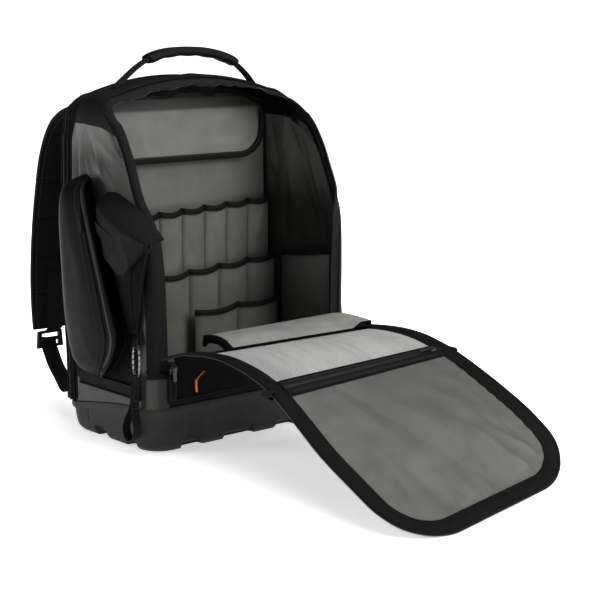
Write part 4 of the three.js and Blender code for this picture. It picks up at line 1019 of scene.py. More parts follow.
# ---- inside pockets ---------------------------------------------------------------------------------
for name, y0, z0, z1, slope, xa, xb, channels, puff in POCKET_ROWS:
    per = res(18)
    n = channels * per
    nv = res(34)
    U = np.linspace(0, 1, n + 1)
    T = np.linspace(0, 1, nv + 1)
    x = xa + (xb - xa) * U
    ph = np.abs(np.sin(np.pi * U * channels))
    bulge = puff * np.sqrt(ph)[:, None] * (0.45 + 0.55 * T)
    sag = 3.0 * (ph**1.2)[:, None] * T**3
    P = np.zeros((n + 1, nv + 1, 3))
    P[:, :, 0] = x[:, None]
    P[:, :, 2] = z0 + (z1 + slope * x[:, None] - z0) * T - sag
    folds = ridges(P[:, :, 0], P[:, :, 2], creases(int(y0), 22, (xa, xb), (z0, z1), (60, 120), (3, 8), (14, 40), (0.5, 1.6)))
    P[:, :, 1] = y0 - bulge - folds * ph[:, None]
    o = cloth(name + "_cloth", P, 2.0, [LINING], flip=False)
    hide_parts(name)
    topline = P[:, -1, :] + np.array([0, 1.0, -3.2])
    tape(trim, topline, (0, 0, 1), 8.4, 4.2, n=12, power=3.4)
    stitch(thread, P[:, -1, :] + np.array([0, -1.35, -6.4]), (0, -1, 0), size=3, space=1.4)
    for c in range(0, channels + 1):
        i = min(n, c * per)
        col = P[i, :, :] + np.array([0.8 if c == 0 else (-0.8 if c == channels else 0), -0.5, 0])
        stitch(thread, col[: int(nv * 0.93)], (0, -1, 0), size=3, space=1.4)
    bottom = P[:, 0, :] + np.array([0, -0.6, 2.5])
    tape(trim, bottom, (0, 0, 1), 7, 1.6, n=10)

# wall pocket on the right
nu, nv = res(40), res(30)
U = np.linspace(0, 1, nu + 1)[:, None]
T = np.linspace(0, 1, nv + 1)[None, :]
y = 16 - 100 * U + 0 * T
z = 66 + ((219 + 12 * U) - 66) * T
x = HALF_W - 0.7 - CLOTH - 2.5 - 14 * np.sin(np.pi * np.clip(U, 0, 1)) ** 0.7 * (0.4 + 0.6 * T) - 0.8 * ridges(y, z, creases(71, 10, (-80, 10), (80, 220), (60, 120), (4, 9), (16, 40), (0.5, 1.5))) * np.sin(np.pi * U)
P = np.stack([x + 0 * z, y, z], axis=-1)
o = cloth("wall_pocket_cloth", P, 2.0, [LINING], flip=False)
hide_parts("wall_pocket_right")
tape(trim, P[:, -1, :] + np.array([0.8, 0, -3.2]), (0, 0, 1), 8.2, 4.2, n=12, power=3.4)
stitch(thread, P[:, -1, :] + np.array([-1.5, 0, -6.4]), (-1, 0, 0))

# inner corner seams, where the side lining meets the back
for sign in (-1, 1):
    line = np.array([[sign * (HALF_W - 4.6 + (1.5 * math.sin(math.pi * min(max(z - 60, 0), 350) / 350) if z < 410 else 0) - (max(0, z - 330) / 87 * 1.5)), 55.5, z] for z in np.linspace(68, 404, 60)])
    piping(trim, line, 1.7)
corner = [s for s in walk(404, 3)]
line = np.array([shell_row(s, np.array([5.0]), CLOTH + 1.4)[0] for s in corner])
piping(trim, line, 1.6)

# ---- rear compartment ---------------------------------------------------------------------------------
def rear_row(stop, ys, low=False):
    y0 = BACK_Y + 0.8
    t = (ys - y0) / (REAR_Y - y0)
    seam = 3.5 * np.exp(-(((ys - y0) / 5) ** 2))
    roll = 14 * (1 - np.sqrt(1 - np.clip((ys - 71) / 31, 0, 1) ** 2))
    groove = 2.6 * np.exp(-(((ys - 79) / 3.0) ** 2)) - 1.0 * np.exp(-(((ys - 73.5) / 2.2) ** 2)) - 1.0 * np.exp(-(((ys - 84.5) / 2.2) ** 2))
    d = -seam - roll - groove - 5 * t * stop["over"]
    px, pz = stop["p"]
    if stop["side"]:
        d = d + ridges(ys, np.full_like(ys, pz), REAR_FOLDS[stop["side"]]) * np.clip((ys - y0) / 10, 0, 1)
    return np.stack([px + stop["n"][0] * d, ys, pz + stop["n"][1] * d], axis=-1)


REAR_FOLDS = {s: creases(60 + s, 12, (66, 98), (70, 400), (60, 120), (4, 8), (14, 36), (0.5, 1.5)) for s in (-1, 1)}
stops = walk(38, 6)
ys = np.concatenate([np.linspace(BACK_Y + 0.8, 90, res(34)), np.linspace(91, REAR_Y, res(12))])
P = np.array([rear_row(s, ys) for s in stops])
for i, s in enumerate(stops):
    if s["side"] and s["h"] < 60:
        P[i, :, 2] = np.maximum(P[i, :, 2], base_top(np.minimum(P[i, :, 1], 100)) + GAP)
o = cloth("rear_cloth", P, 2.6, [NYLON, LINING], flip=False, lining=True)
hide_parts("rear_gusset")
seam_a = np.array([rear_row(s, np.array([BACK_Y + 0.9]))[0] + np.array([s["n"][0], 0, s["n"][1]]) * 1.6 for s in stops])
seam_b = np.array([rear_row(s, np.array([71.6]))[0] + np.array([s["n"][0], 0, s["n"][1]]) * 0.9 for s in stops])
seam_c = np.array([rear_row(s, np.array([99.5]))[0] + np.array([s["n"][0], 0, s["n"][1]]) * 1.2 for s in stops])
piping(trim, resample(seam_a, step=4), 2.1)
piping(trim, resample(seam_b, step=4), 1.3)
piping(trim, resample(seam_c, step=4), 2.0)
mid = np.array([rear_row(s, np.array([79.0]))[0] for s in stops])
nrm = np.array([[s["n"][0], 0, s["n"][1]] for s in stops])
up = np.array([[s["n"][0], 0.0, s["n"][1]] for s in stops])
coil(coils, mid + up * 0.4, np.array([0, -1.0, 0]) + 0 * mid, 5.5, 1.5, 2.3)
for yy in (69.5, 88.5):
    stitch(thread, np.array([rear_row(s, np.array([yy]))[0] for s in stops]) + up * 0.15, nrm)
# back face of the rear compartment, round the padded back
X1 = columns(147.0, res(70))
nv = res(50)
T = np.linspace(0, 1, nv + 1)
P = np.zeros((len(X1), nv + 1, 3))
for i, xx in enumerate(X1):
    zt = float(z_top(xx * 154 / 147.0, 17.5))
    P[i, :, 0] = xx
    P[i, :, 2] = 42 + (zt - 42) * T
P[:, :, 1] = REAR_Y - 0.6
o = cloth("rear_face", P, 1.6, [NYLON], flip=True)

# ---- shoulder straps ------------------------------------------------------------------------------------
straps = {}
for side, sign in (("left", 1), ("right", -1)):
    line = spline([(r[2] * sign, r[0], r[1], r[3]) for r in STRAP_ROWS], res(150))
    c, w = line[:, :3], line[:, 3]
    t = tangents(c)
    X = np.tile([1.0, 0, 0], (len(c), 1))
    up = unit(np.cross(t, X))
    m = res(26)
    a = np.linspace(-1, 1, m + 1)
    d = lengths(c)
    # quilting seams across the strap
    q = np.ones(len(c))
    for seam in (0.30, 0.47, 0.60, 0.735, 0.87):
        q = np.minimum(q, smooth(0.4, 7, np.abs(d - seam * d[-1])))
    q = np.minimum(q, smooth(-1, 14, d)) * smooth(-1, 10, d[-1] - d)
    thick = 2.6 + 3.4 * (1 - np.abs(a) ** 3.2)[None, :] * (0.35 + 0.65 * q[:, None])
    bend = 2.2 * (a**2)
    outer = c[:, None, :] + X[:, None, :] * (a[None, :, None] * (w[:, None, None] / 2 - 1)) + up[:, None, :] * (thick[..., None] - bend[None, :, None] * 0.5)
    inner_f = c[:, None, :] + X[:, None, :] * (a[None, :, None] * (w[:, None, None] / 2 - 1)) - up[:, None, :] * (thick[..., None] + bend[None, :, None] * 0.5)
    nu_, nv_ = outer.shape[0] - 1, outer.shape[1] - 1
    size = (nu_ + 1) * (nv_ + 1)
    uu = np.repeat(d[:, None], m + 1, axis=1)
    vv = a[None, :] * w[:, None] / 2
    uv = np.stack([uu, vv], axis=-1).reshape(-1, 2)
    fa = quads(nu_, nv_, 0, False)
    fb = quads(nu_, nv_, size, True)
    wv = nv_ + 1
    ring = np.array([i * wv for i in range(nu_ + 1)] + [nu_ * wv + j for j in range(1, nv_ + 1)] + [i * wv + nv_ for i in range(nu_ - 1, -1, -1)] + [j for j in range(nv_ - 1, 0, -1)])
    nxt = np.roll(ring, -1)
    rim = np.stack([nxt, ring, ring + size, nxt + size], axis=1)
    verts = np.concatenate([outer.reshape(-1, 3), inner_f.reshape(-1, 3)])
    o = make("strap_pad_" + side, verts, np.concatenate([fa, fb, rim]), [SPACER_MESH], uv=np.concatenate([uv, uv + 1.1]), angle=60)
    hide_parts("shoulder_strap_" + side)
    for e in (-1, 1):
        edge_line = c + X * (e * (w[:, None] / 2 - 1.2))
        tape(trim, edge_line - up * 1.1, np.tile([0.0, 0, 0], (len(c), 1)) + up, 7.0, 4.2, n=12, power=3)
        stitch(thread, c + X * (e * (w[:, None] / 2 - 4.6)) + up * 3.4, up)
    for seam in (0.47, 0.60, 0.735, 0.87):
        i = int(seam * (len(c) - 1))
        seg = outer[i, 2:-2, :]
        stitch(thread, seg + up[i] * 0.15, up[i])
    # webbing that runs on the strap to the buckle
    s0 = int(len(c) * 0.80)
    web = c[s0:] + up[s0:] * 6.6
    tape_b = Batch()
    tape(tape_b, np.concatenate([web, [[web[-1][0], 225.5, 104.5]]]), (1, 0, 0), 25, 1.8, n=12)
    # its lower run, from the buckle to the base's corner
    low = spline([(r[2] * sign, r[0], r[1]) for r in LOWER_WEB_ROWS], res(60))
    start = np.array([[-103.5 * sign, 226.6, 95.0], [-104.5 * sign, 226.0, 88.0], [-105.3 * sign, 223.5, 83.5]])
    tape(tape_b, resample(np.concatenate([start, low]), step=3), (1, 0, 0), 25, 2.0, n=12)
    o = tape_b.build("strap_web_" + side, WEBBING, "webbing")
    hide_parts("strap_webbing_" + side)
    for e in (-9, 9):
        stitch(thread, low[3:-3] + np.array([e, 0, 0]) + unit(np.cross(tangents(low), [[1.0, 0, 0]] * len(low)))[3:-3] * 1.1, unit(np.cross(tangents(low), [[1.0, 0, 0]] * len(low)))[3:-3], size=3)
    # anchor tab at the base's corner
    ab = Batch()
    for y_, x0, x1 in ((105.6, 122, 147),):
        tape(ab, np.array([[-134.5 * sign, 103.2, 36.5], [-135 * sign, 105.4, 42], [-136 * sign, 108.2, 50], [-136.4 * sign, 109.6, 54.5]]), (1, 0, 0), 27, 2.8, n=12)
    o = ab.build("anchor_tab_" + side, WEBBING, "webbing")
    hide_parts("strap_anchor_" + side)

# ---- carry handle -------------------------------------------------------------------------------------------
line = spline([(x, HANDLE_Y, z) for x, z in HANDLE_ROWS], res(120))
hb = Batch()
tape(hb, line, (0, 1, 0), HANDLE_W, 3.6, n=14, power=3.2)
o = hb.build("handle_strap", WEBBING, "webbing")
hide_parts("handle_webbing")
for e in (-4.6, 4.6):
    upv = unit(np.cross(tangents(line), [[0, -1.0, 0]] * len(line)))
    stitch(thread, line + np.array([0, e, 0]) + upv * 1.75, upv, size=3)
x0, x1 = -60, 82
m0 = int(np.argmin(np.abs(line[:, 0] - x0)))
m1 = int(np.argmin(np.abs(line[:, 0] - x1)))
g = line[m0 : m1 + 1]
gt = tangents(g)
gup = unit(np.cross(gt, [[0, -1.0, 0]] * len(g)))
ang = np.radians(np.linspace(-150, 150, res(30) + 1))
gd = lengths(g)
endf = np.minimum(smooth(-3, 5, gd), smooth(-3, 5, gd[-1] - gd))
bump_g = 0.5 * np.sin(gd * 0.21)[:, None] * np.exp(-((ang / 1.2) ** 2))[None, :]
wv, hv = HANDLE_W / 2 + 2.7, 4.4
P = g[:, None, :] + np.array([0, 1.0, 0]) * (np.sign(np.sin(ang)) * np.abs(np.sin(ang)) ** 0.8 * wv)[None, :, None] * (0.93 + 0.07 * endf[:, None, None]) + gup[:, None, :] * ((np.cos(ang) * hv)[None, :] * (0.75 + 0.25 * endf[:, None]) + bump_g)[..., None]
o = cloth("handle_sleeve", P, 2.0, [NYLON, BINDING], flip=False, lining=True)
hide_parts("handle_grip")
for k in (4, len(g) - 5):
    ringp = P[k, 2:-2, :]
    stitch(thread, ringp + (ringp - g[k]) * 0.02, unit(ringp - g[k]), size=2.6, space=1.2)
# the handle webbing's ends at the top seam; no stitching or patch is drawn there, the loop does nothing
for x_, z_ in ((-113, 453.6), (114, 453.6)):
    pass

# ---- left side: moulded pouch -------------------------------------------------------------------------------
rows = [(84.5, 22, 4, 0.6)] + POUCH_ROWS + [(344.2, 37, 22, 0.8)]
prof = [(0, 0, 0.0, 0), (1, 0.03, 0.42, 0), (2, 0.1, 0.74, 0), (3, 0.24, 0.95, 0), (4, 0.46, 1.0, 0), (5, 0.7, 0.96, 0), (6, 0.9, 0.86, 0), (7, 1.0, 0.74, 0.1), (8, 1.0, 0.34, 0.72), (9, 0.985, 0.0, 1)]
J = np.linspace(0, 9, res(64) + 1)
A, Bv, Cv = at(prof, 0, J, 1), at(prof, 0, J, 2), at(prof, 0, J, 3)
zz = np.concatenate([np.linspace(84.5, 110, res(26)), np.linspace(112, 310, res(70)), np.linspace(312, 344.2, res(34))])
P = np.zeros((len(zz), len(J), 3))
for i, z in enumerate(zz):
    rear, fr, out = (float(at(rows, 0, z, c)) for c in (1, 2, 3))
    P[i, :, 0] = -(HALF_W + 1.0) - (out + 2.4) * np.maximum(Bv, 0)
    P[i, :, 1] = rear + (fr - rear) * A + Cv * 19 * out / 35
    P[i, :, 2] = z
dent = ridges(P[:, :, 1], P[:, :, 2], [(20, 190, 96, 26, 120, -1.6), (5, 250, 70, 12, 50, 1.0), (45, 150, 92, 10, 70, 1.2), (-20, 120, 60, 9, 30, 0.8), (30, 110, 10, 7, 30, 0.9)])
P[:, :, 0] -= dent * np.clip(Bv, 0, 1)
o = cloth("pouch_shell_left", P, 2.4, [POUCH, LINING], flip=True, lining=True)
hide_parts("side_pouch_left")


def pouch_line(j, off=0.0, z0=90.0, z1=341.0, n=120):
    out_l = []
    for z in np.linspace(z0, z1, n):
        rear, fr, out = (float(at(rows, 0, z, c)) for c in (1, 2, 3))
        a_, b_, c_ = (float(at(prof, 0, j, k)) for k in (1, 2, 3))
        out_l.append((-(HALF_W + 1.0) - (out + 2.4) * b_ - off, rear + (fr - rear) * a_ + c_ * 19 * out / 35, z))
    return np.array(out_l)


for j, rr in ((6.75, 1.5), (5.75, 1.15)):
    piping(trim, pouch_line(j, 0.3), rr)
pl = pouch_line(6.25, 0.1)
pn = np.tile([-1.0, -0.25, 0], (len(pl), 1))
coil(coils, pl, unit(pouch_line(6.9) - pouch_line(5.6)), 4.0, 1.2, 2.3)
stitch(thread, pouch_line(5.25, 0.25), pn)
# flange sewn on the wall round the pouch
fl = []
for z in np.linspace(84.5, 344.2, 120):
    rear, fr, out = (float(at(rows, 0, z, c)) for c in (1, 2, 3))
    fl.append((z, rear, fr + 19 * out / 35))
fl = np.array(fl)
loop = np.concatenate([np.column_stack([np.full(len(fl), -(HALF_W + 2.2)), fl[:, 1] + 1.2, fl[:, 0]]), np.column_stack([np.full(len(fl), -(HALF_W + 2.2)), fl[:, 2] - 1.0, fl[:, 0]])[::-1]])
piping(trim, resample(loop, step=4), 1.9)
# pull of the pouch's zip, at its upper end
tape(trim, spline([(-193, 2, 309), (-196, -4, 300), (-197, -8, 288), (-197, -10, 278)], 14), (0, 1, 0.3), 7, 1.8, n=10)

# ---- slanted pocket and its cover ----------------------------------------------------------------------------
cols = [(0, 0, 0.02), (1, 0.12, 0.6), (2, 0.35, 0.95), (3, 0.65, 1.0), (4, 0.88, 0.9), (5, 1.0, 0.55), (6, 0.93, 0.02)]
J = np.linspace(0, 6, res(48) + 1)
A, Bv = at(cols, 0, J, 1), at(cols, 0, J, 2)
zz = np.linspace(158, 268, res(56) + 1)
P = np.zeros((len(zz), len(J), 3))
for i, z in enumerate(zz):
    rear, fr, out = (float(at(SLANT_ROWS, 0, z, c)) for c in (1, 2, 3))
    fr_j = np.where(J > 5.2, fr + (max(fr, -96) - fr) * smooth(5.2, 6, J), fr)
    P[i, :, 0] = -(HALF_W + 1.6) - (out + 2) * Bv
    P[i, :, 1] = rear + (fr_j - rear) * A
    P[i, :, 2] = z
P[:, :, 0] -= ridges(P[:, :, 1], P[:, :, 2], creases(81, 8, (-100, -40), (165, 260), (60, 110), (5, 9), (16, 40), (0.6, 1.6))) * np.clip(Bv, 0, 1)
o = cloth("slant_pocket_cloth", P, 1.8, [NYLON, LINING], flip=True, lining=True)
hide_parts("slant_pocket_left")
for jj in (int(len(J) * 0.80), int(len(J) * 0.6)):
    piping(trim, P[2:-2, jj, :] + np.array([-0.5, 0, 0]), 1.2)
tape(trim, P[-1, 2:-2, :] + np.array([0, 0, -2.6]), (0, 0, 1), 7, 3.4, n=10, power=3.4)
bottom_line = P[0, :, :] + np.array([-0.4, 0, 1.5])
tape(trim, bottom_line, (0, 0, 1), 6, 2.6, n=10)

ny, nt = res(70), res(44)
U = np.linspace(0, 1, ny + 1)
y = -22 + (-134 + 22) * U
zt, zl, out = at(COVER_COLS, 0, y, 1), at(COVER_COLS, 0, y, 2), at(COVER_COLS, 0, y, 3)
T = np.linspace(0, 1, nt + 1)
over = np.sin(np.pi / 2 * np.minimum(1, T / 0.3))
P = np.zeros((ny + 1, nt + 1, 3))
P[:, :, 0] = -(HALF_W + 1.6) - (out + 3)[:, None] * over[None, :]
P[:, :, 1] = y[:, None] - 3 - 19 * T[None, :] * (1 - U[:, None]) ** 1.5
P[:, :, 2] = zt[:, None] + (zl - zt)[:, None] * T[None, :]
P[:, :, 0] -= ridges(P[:, :, 1], P[:, :, 2], [(-60, 300, -15, 7, 40, 1.6), (-95, 285, -20, 6, 26, 1.2), (-40, 262, 80, 6, 20, -1.0), (-104, 262, 60, 6, 20, 1.2)]) * smooth(0.05, 0.5, T)[None, :]
o = cloth("pocket_cover_cloth", P, 2.2, [NYLON, BINDING], flip=False, lining=True)
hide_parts("pocket_cover_left")
tape(trim, P[:, -1, :] + np.array([0.9, 0, 1.6]), (0, 0, 1), 5.0, 3.8, n=10, power=3)
tape(trim, P[-1, 3:, :] + np.array([0.9, 1.2, 0]), (0, 1, 0), 5.0, 3.8, n=10, power=3)
stitch(thread, P[1:-1, int(nt * 0.90), :] + np.array([-0.3, 0, 0]), (-1, 0, 0))
for k in (0.84, 0.88):
    i = int(ny * k)
    stitch(thread, P[i, int(nt * 0.2) : int(nt * 0.92), :] + np.array([-0.3, 0, 0]), (-1, 0, 0))
piping(trim, P[:, 1, :] + np.array([-0.5, 0, 0.6]), 1.6)
# bare woven patch
na, nb = res(30), res(12)
a = np.linspace(0, 1, na + 1)[:, None]
b = np.linspace(0, 1, nb + 1)[None, :]
py = (-32 + (-80 + 32) * a) * (1 - b) + (-37 + (-75 + 37) * a) * b
pz = (295 + (277 - 295) * a) * (1 - b) + (279 + (262 - 279) * a) * b
px = -(HALF_W + 1.6) - (at(COVER_COLS, 0, py, 3) + 3) - ridges(py, pz, [(-60, 300, -15, 7, 40, 1.6), (-95, 285, -20, 6, 26, 1.2), (-40, 262, 80, 6, 20, -1.0), (-104, 262, 60, 6, 20, 1.2)]) - 1.1
P = np.stack([px, py, pz], axis=-1)
o = cloth("patch_woven", P, 1.0, [BINDING], flip=False)
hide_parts("cover_patch")
border = np.concatenate([P[:, 0], P[-1, 1:], P[::-1, -1][1:], P[0, ::-1][1:]])
inset = P.mean(axis=(0, 1))
stitch(thread, border + (inset - border) * 0.06 + np.array([-0.1, 0, 0]), (-1, 0, 0), size=2.4, space=1.2, r=0.32)

# ---- webbing loop on a wire clip --------------------------------------------------------------------------------
x = -(HALF_W + 9)
lb = Batch()
tape(lb, np.array([(x + 4.5, -88, 160), (x + 2.7, -88, 154), (x + 1.4, -88, 147), (x - 0.6, -88, 141.5), (x - 2.6, -88, 140.2), (x - 4.2, -88, 142), (x - 3.4, -88, 147), (x - 0.8, -88, 152)]), (0, 1, 0), 11, 1.9, n=10)
o = lb.build("clip_tab", WEBBING, "webbing")
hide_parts("tape_loop_tab")
path = spline([(x - 2.6, -88, 104), (x - 2.4, -87, 99), (x - 2.4, -87, 80), (x - 2.4, -83, 58), (x - 2.4, -86, 46), (x - 2.4, -88, 34), (x - 2.4, -84, 23), (x - 2.4, -76, 19),
               (x - 2.4, -67, 23), (x - 2.4, -64, 34), (x - 2.4, -68, 46), (x - 2.4, -75, 56), (x - 2.4, -80.4, 66), (x - 2.4, -83.8, 82), (x - 2.5, -84.6, 99)], res(110))
lb = Batch()
tape(lb, path, (1, 0, 0), 12, 1.9, n=12)
tape(lb, np.array([(x - 2.5, -84.8, 98), (x - 2.5, -85.4, 103), (x - 2.5, -87.4, 105.4), (x - 2.6, -89.6, 103.6), (x - 2.6, -89.8, 98), (x - 2.5, -89.6, 90)]), (1, 0, 0), 12, 1.8, n=10)
o = lb.build("loop_web", WEBBING, "webbing")
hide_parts("tape_loop_webbing")
for zz_ in (72, 62):
    stitch(thread, np.array([(x - 8, -86.8, zz_), (x + 3, -86.8, zz_)]), (0, -1, 0), size=2.4, space=1.0)

# ---- right side mesh pocket -----------------------------------------------------------------------------------------
cols = [(0, 0, 0.02), (1, 0.06, 0.6), (2, 0.2, 0.92), (3, 0.5, 1.0), (4, 0.8, 0.92), (5, 0.94, 0.6), (6, 1.0, 0.02)]
J = np.linspace(0, 6, res(60) + 1)
A, Bv = at(cols, 0, J, 1), at(cols, 0, J, 2)
zz = np.linspace(66, 228, res(70) + 1)
P = np.zeros((len(zz), len(J), 3))
for i, z in enumerate(zz):
    rear, fr, out = (float(at(SIDE_MESH_ROWS, 0, z, c)) for c in (1, 2, 3))
    P[i, :, 0] = HALF_W + 2.0 + (out + 2) * Bv
    P[i, :, 1] = rear + (fr - rear) * A
    P[i, :, 2] = z
gather = 1.1 * np.sin(P[:, :, 1] * 0.55) * smooth(150, 228, P[:, :, 2])
P[:, :, 0] += gather * np.clip(Bv, 0, 1)
o = cloth("side_net_right", P, 1.4, [NET], flip=False)
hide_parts("mesh_pocket_right")
tape(trim, P[-1, :, :] + np.array([0, 0, -4]), (0, 0, 1), 11, 3.0, n=12, power=3.4)
tape(trim, P[0, :, :] + np.array([0, 0, 2]), (0, 0, 1), 7, 2.6, n=10)
for side_col in (0, -1):
    tape(trim, P[:, side_col, :] + np.array([0.6, 0, 0]), (0, 1, 0), 7, 2.2, n=10)

# ---- zip ends: sliders, pulls and tabs ---------------------------------------------------------------------------------
for side, sign in (("left", -1), ("right", 1)):
    x = sign * 131.5
    b = Batch()
    tape(b, np.array([[x, FRONT_Y - 3.2 - 2.6 * math.sin(math.pi * (z - 61) / 57), z] for z in np.linspace(101, 67, 18)]), (1, 0, 0), 13, 2.2, n=12)
    o = b.build("zip_tab_" + side, WEBBING, "webbing")
    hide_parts("zip_end_tab_" + side)
    for e in (-4, 4):
        stitch(thread, np.array([[x + e, FRONT_Y - 4.4 - 2.6 * math.sin(math.pi * (z - 61) / 57), z] for z in np.linspace(98, 69, 12)]), (0, -1, 0), size=2.6)
    # pull: a plate on a ring
    b = Batch()
    ring = [(x + 2.6 * math.cos(a), FRONT_Y - 8.2 - 0.4 * math.sin(a), 113.6 + 2.8 * math.sin(a)) for a in np.linspace(0, 2 * math.pi, 17)[:-1]]
    piping(b, np.array(ring), 0.65, closed=True, hint=(0, 1, 0))
    tape(b, spline([(x, FRONT_Y - 9.2, 112), (x + 0.6, FRONT_Y - 9.6, 104), (x + 1.2, FRONT_Y - 9.4, 95)], 10), (1, 0, 0), 5, 1.3, n=10, power=4)
    o = b.build("zip_pull_" + side, ZIP_METAL, "zip_metal")
    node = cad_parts["zip_slider_" + side]
    bv = node.modifiers.new("bevel", "BEVEL")
    bv.width = 0.0009
    bv.segments = 2
    node.data.materials.clear()
    node.data.materials.append(ZIP_METAL)


def finish_node(name, mat, bevel=0.0, sub=0):
    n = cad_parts[name]
    n.data.materials.clear()
    n.data.materials.append(mat)
    if bevel:
        bv = n.modifiers.new("bevel", "BEVEL")
        bv.width = bevel
        bv.segments = 3
        bv.limit_method = "ANGLE"
        bv.angle_limit = math.radians(40)
    if sub:
        sd = n.modifiers.new("smooth", "SUBSURF")
        sd.levels = sub
        sd.render_levels = sub
    return n


finish_node("strap_buckle_left", BUCKLE, 0.0011)
finish_node("strap_buckle_right", BUCKLE, 0.0011)
finish_node("tape_loop_clip", WIRE, 0, 2)
# orange cord pull
b = Batch()
piping(b, spline([(-82, -110.5, 101), (-87, -111.6, 99), (-92, -112, 95.5), (-96.5, -112, 91)], 18), 1.0, hint=(0, 1, 0))
tape(b, spline([(-96.5, -112, 92), (-96.8, -112, 84), (-95.5, -111.8, 76)], 14), (0, 1, 0), 2.6, 3.0, n=14, power=3)
o = b.build("orange_pull", ORANGE, "orange_pull")
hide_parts("front_zip_pull")

# ---- folded-down front panel ------------------------------------------------------------------------------------------------
FL = np.array(FLAP_LINE, float)
FS = np.concatenate([[0], np.cumsum(np.hypot(np.diff(FL[:, 0]), np.diff(FL[:, 1])))])
FLAP = [(FS[i], *FL[i]) for i in range(len(FL))]
FLAP_LEN = FS[-1]


def flap_point(s, w, up=0.0):
    s = np.asarray(s, float)
    y, z = at(FLAP, 0, s, 1), at(FLAP, 0, s, 2)
    y2 = at(FLAP, 0, np.minimum(FLAP_LEN, s + 2), 1) - at(FLAP, 0, np.maximum(0, s - 2), 1)
    z2 = at(FLAP, 0, np.minimum(FLAP_LEN, s + 2), 2) - at(FLAP, 0, np.maximum(0, s - 2), 2)
    m = np.hypot(y2, z2)
    shift, skew, lean = at(FLAP, 0, s, 3), at(FLAP, 0, s, 4), at(FLAP, 0, s, 5)
    c = np.sqrt(1 - lean**2 - skew**2)
    return np.stack(np.broadcast_arrays(w * c + shift, y + skew * w + z2 / m * up, z + lean * w - y2 / m * up), axis=-1)


def flap_half(s, inset):
    r = max(10, FLAP_CORNER_R - inset)
    end = FLAP_LEN - inset
    d = np.maximum(0, s - (end - r))
    return FLAP_HALF_W - inset - r + np.sqrt(np.maximum(0, r * r - d * d))


def flap_up(s, w):
    """Unit direction up from the flap at s."""
    return unit(flap_point(s, w, 1.0) - flap_point(s, w, 0.0))


def flap_grid(s0, s1, inset, nu, nv, lift):
    q = np.linspace(0, 1, nu + 1)
    if s1 > FLAP_LEN - 80:
        q = 1 - (1 - q) ** 1.35
    S = s0 + (s1 - s0) * q
    S2 = S[:, None] * np.ones(nv + 1)
    W = flap_half(S, inset)[:, None] * np.linspace(-1, 1, nv + 1)[None, :]
    return S2, W, flap_point(S2, W, lift(S2, W) if callable(lift) else lift)


# outer cloth, underneath
S2, W, P = flap_grid(2, FLAP_LEN - RIM_W, RIM_W, res(90), res(50), 0.0)
under = ridges(W, S2, creases(91, 14, (-110, 110), (40, 440), (60, 120), (8, 18), (30, 70), (0.4, 1.3)))
o = cloth("flap_cloth", P, 3.6 + 0.0 * under, [NYLON], flip=False)
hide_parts("flap_panel")


# zip gusset round the flap
def rim_stops(n_side=60, n_turn=14, n_end=40):
    out = []
    straight = FLAP_LEN - FLAP_CORNER_R
    for k in range(n_side + 1):
        out.append(("side", 4 + (straight - 4) * k / n_side, -1))
    for k in range(1, n_turn):
        out.append(("turn", 90 * k / n_turn, -1))
    for k in range(n_end + 1):
        out.append(("end", -1 + 2 * k / n_end, 0))
    for k in range(n_turn - 1, 0, -1):
        out.append(("turn", 90 * k / n_turn, 1))
    for k in range(n_side, -1, -1):
        out.append(("side", 4 + (straight - 4) * k / n_side, 1))
    return out


def rim_point(stop, inset, up):
    kind, v, sgn = stop
    if kind == "end":
        return flap_point(FLAP_LEN - inset, v * (FLAP_HALF_W - FLAP_CORNER_R), up)
    straight = FLAP_LEN - FLAP_CORNER_R
    r = FLAP_CORNER_R - inset
    if kind == "turn":
        a = math.radians(v)
        return flap_point(straight + r * math.sin(a), sgn * (FLAP_HALF_W - FLAP_CORNER_R + r * math.cos(a)), up)
    return flap_point(v, sgn * (FLAP_HALF_W - inset), up)


RS = rim_stops(res(90), res(18), res(60))
m = 14
T = np.linspace(0, 1, m + 1)
centre = np.array([rim_point(s, RIM_W / 2, 0) for s in RS])
dist = lengths(centre)
rng = np.random.RandomState(4)
puck = np.zeros(len(RS))
for _ in range(70):
    c0, wd, am = rng.uniform(0, dist[-1]), rng.uniform(3, 9), rng.uniform(0.3, 1.2) * (1 if rng.rand() > 0.5 else -1)
    puck += am * np.exp(-(((dist - c0) / wd) ** 2))
bunch = np.array([1.0 if s[0] == "turn" else 0.45 for s in RS])
grid = []
for k, s in enumerate(RS):
    ins = RIM_W - GAP - (RIM_W - GAP) * T ** 0.9
    crown = 2.0 * np.sin(np.pi * np.clip(T * 1.15, 0, 1)) + RIM_RISE * T**1.4 + puck[k] * bunch[k] * np.sin(np.pi * np.clip(T, 0, 1)) * 0.8
    grid.append([rim_point(s, float(i_), float(c_)) for i_, c_ in zip(ins, crown)])
P = np.array(grid)
o = cloth("flap_gusset", P, 2.6, [ZIP_TAPE, NYLON], flip=False, lining=True)
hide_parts("flap_rim")
ups = grid_normals(P)
inner_edge = P[:, 1, :] + ups[:, 1, :] * 1.3
piping(trim, resample(inner_edge, step=4), 1.9)
ridge_line = P[:, int(m * 0.55), :] + ups[:, int(m * 0.55), :] * 0.4
piping(trim, resample(ridge_line, step=4), 1.1)
outer_edge = P[:, m, :] - ups[:, m, :] * 0.6
mid_edge = P[:, m - 1, :]
hint = unit(P[:, m, :] - P[:, m - 2, :])
rimcoil = Batch()
coil(rimcoil, outer_edge, hint, 3.6, 1.5, 2.2)
rimcoil.build("flap_coil", COIL, "zip_tape")
stitch(thread, P[:, int(m * 0.3), :] + ups[:, int(m * 0.3), :] * 0.12, ups[:, int(m * 0.3), :])
stitch(thread, P[:, int(m * 0.78), :] + ups[:, int(m * 0.78), :] * 0.12, ups[:, int(m * 0.78), :])

MESH_START, BAND_START, BAND_END = 66, 186, 216
HEM = 1.4


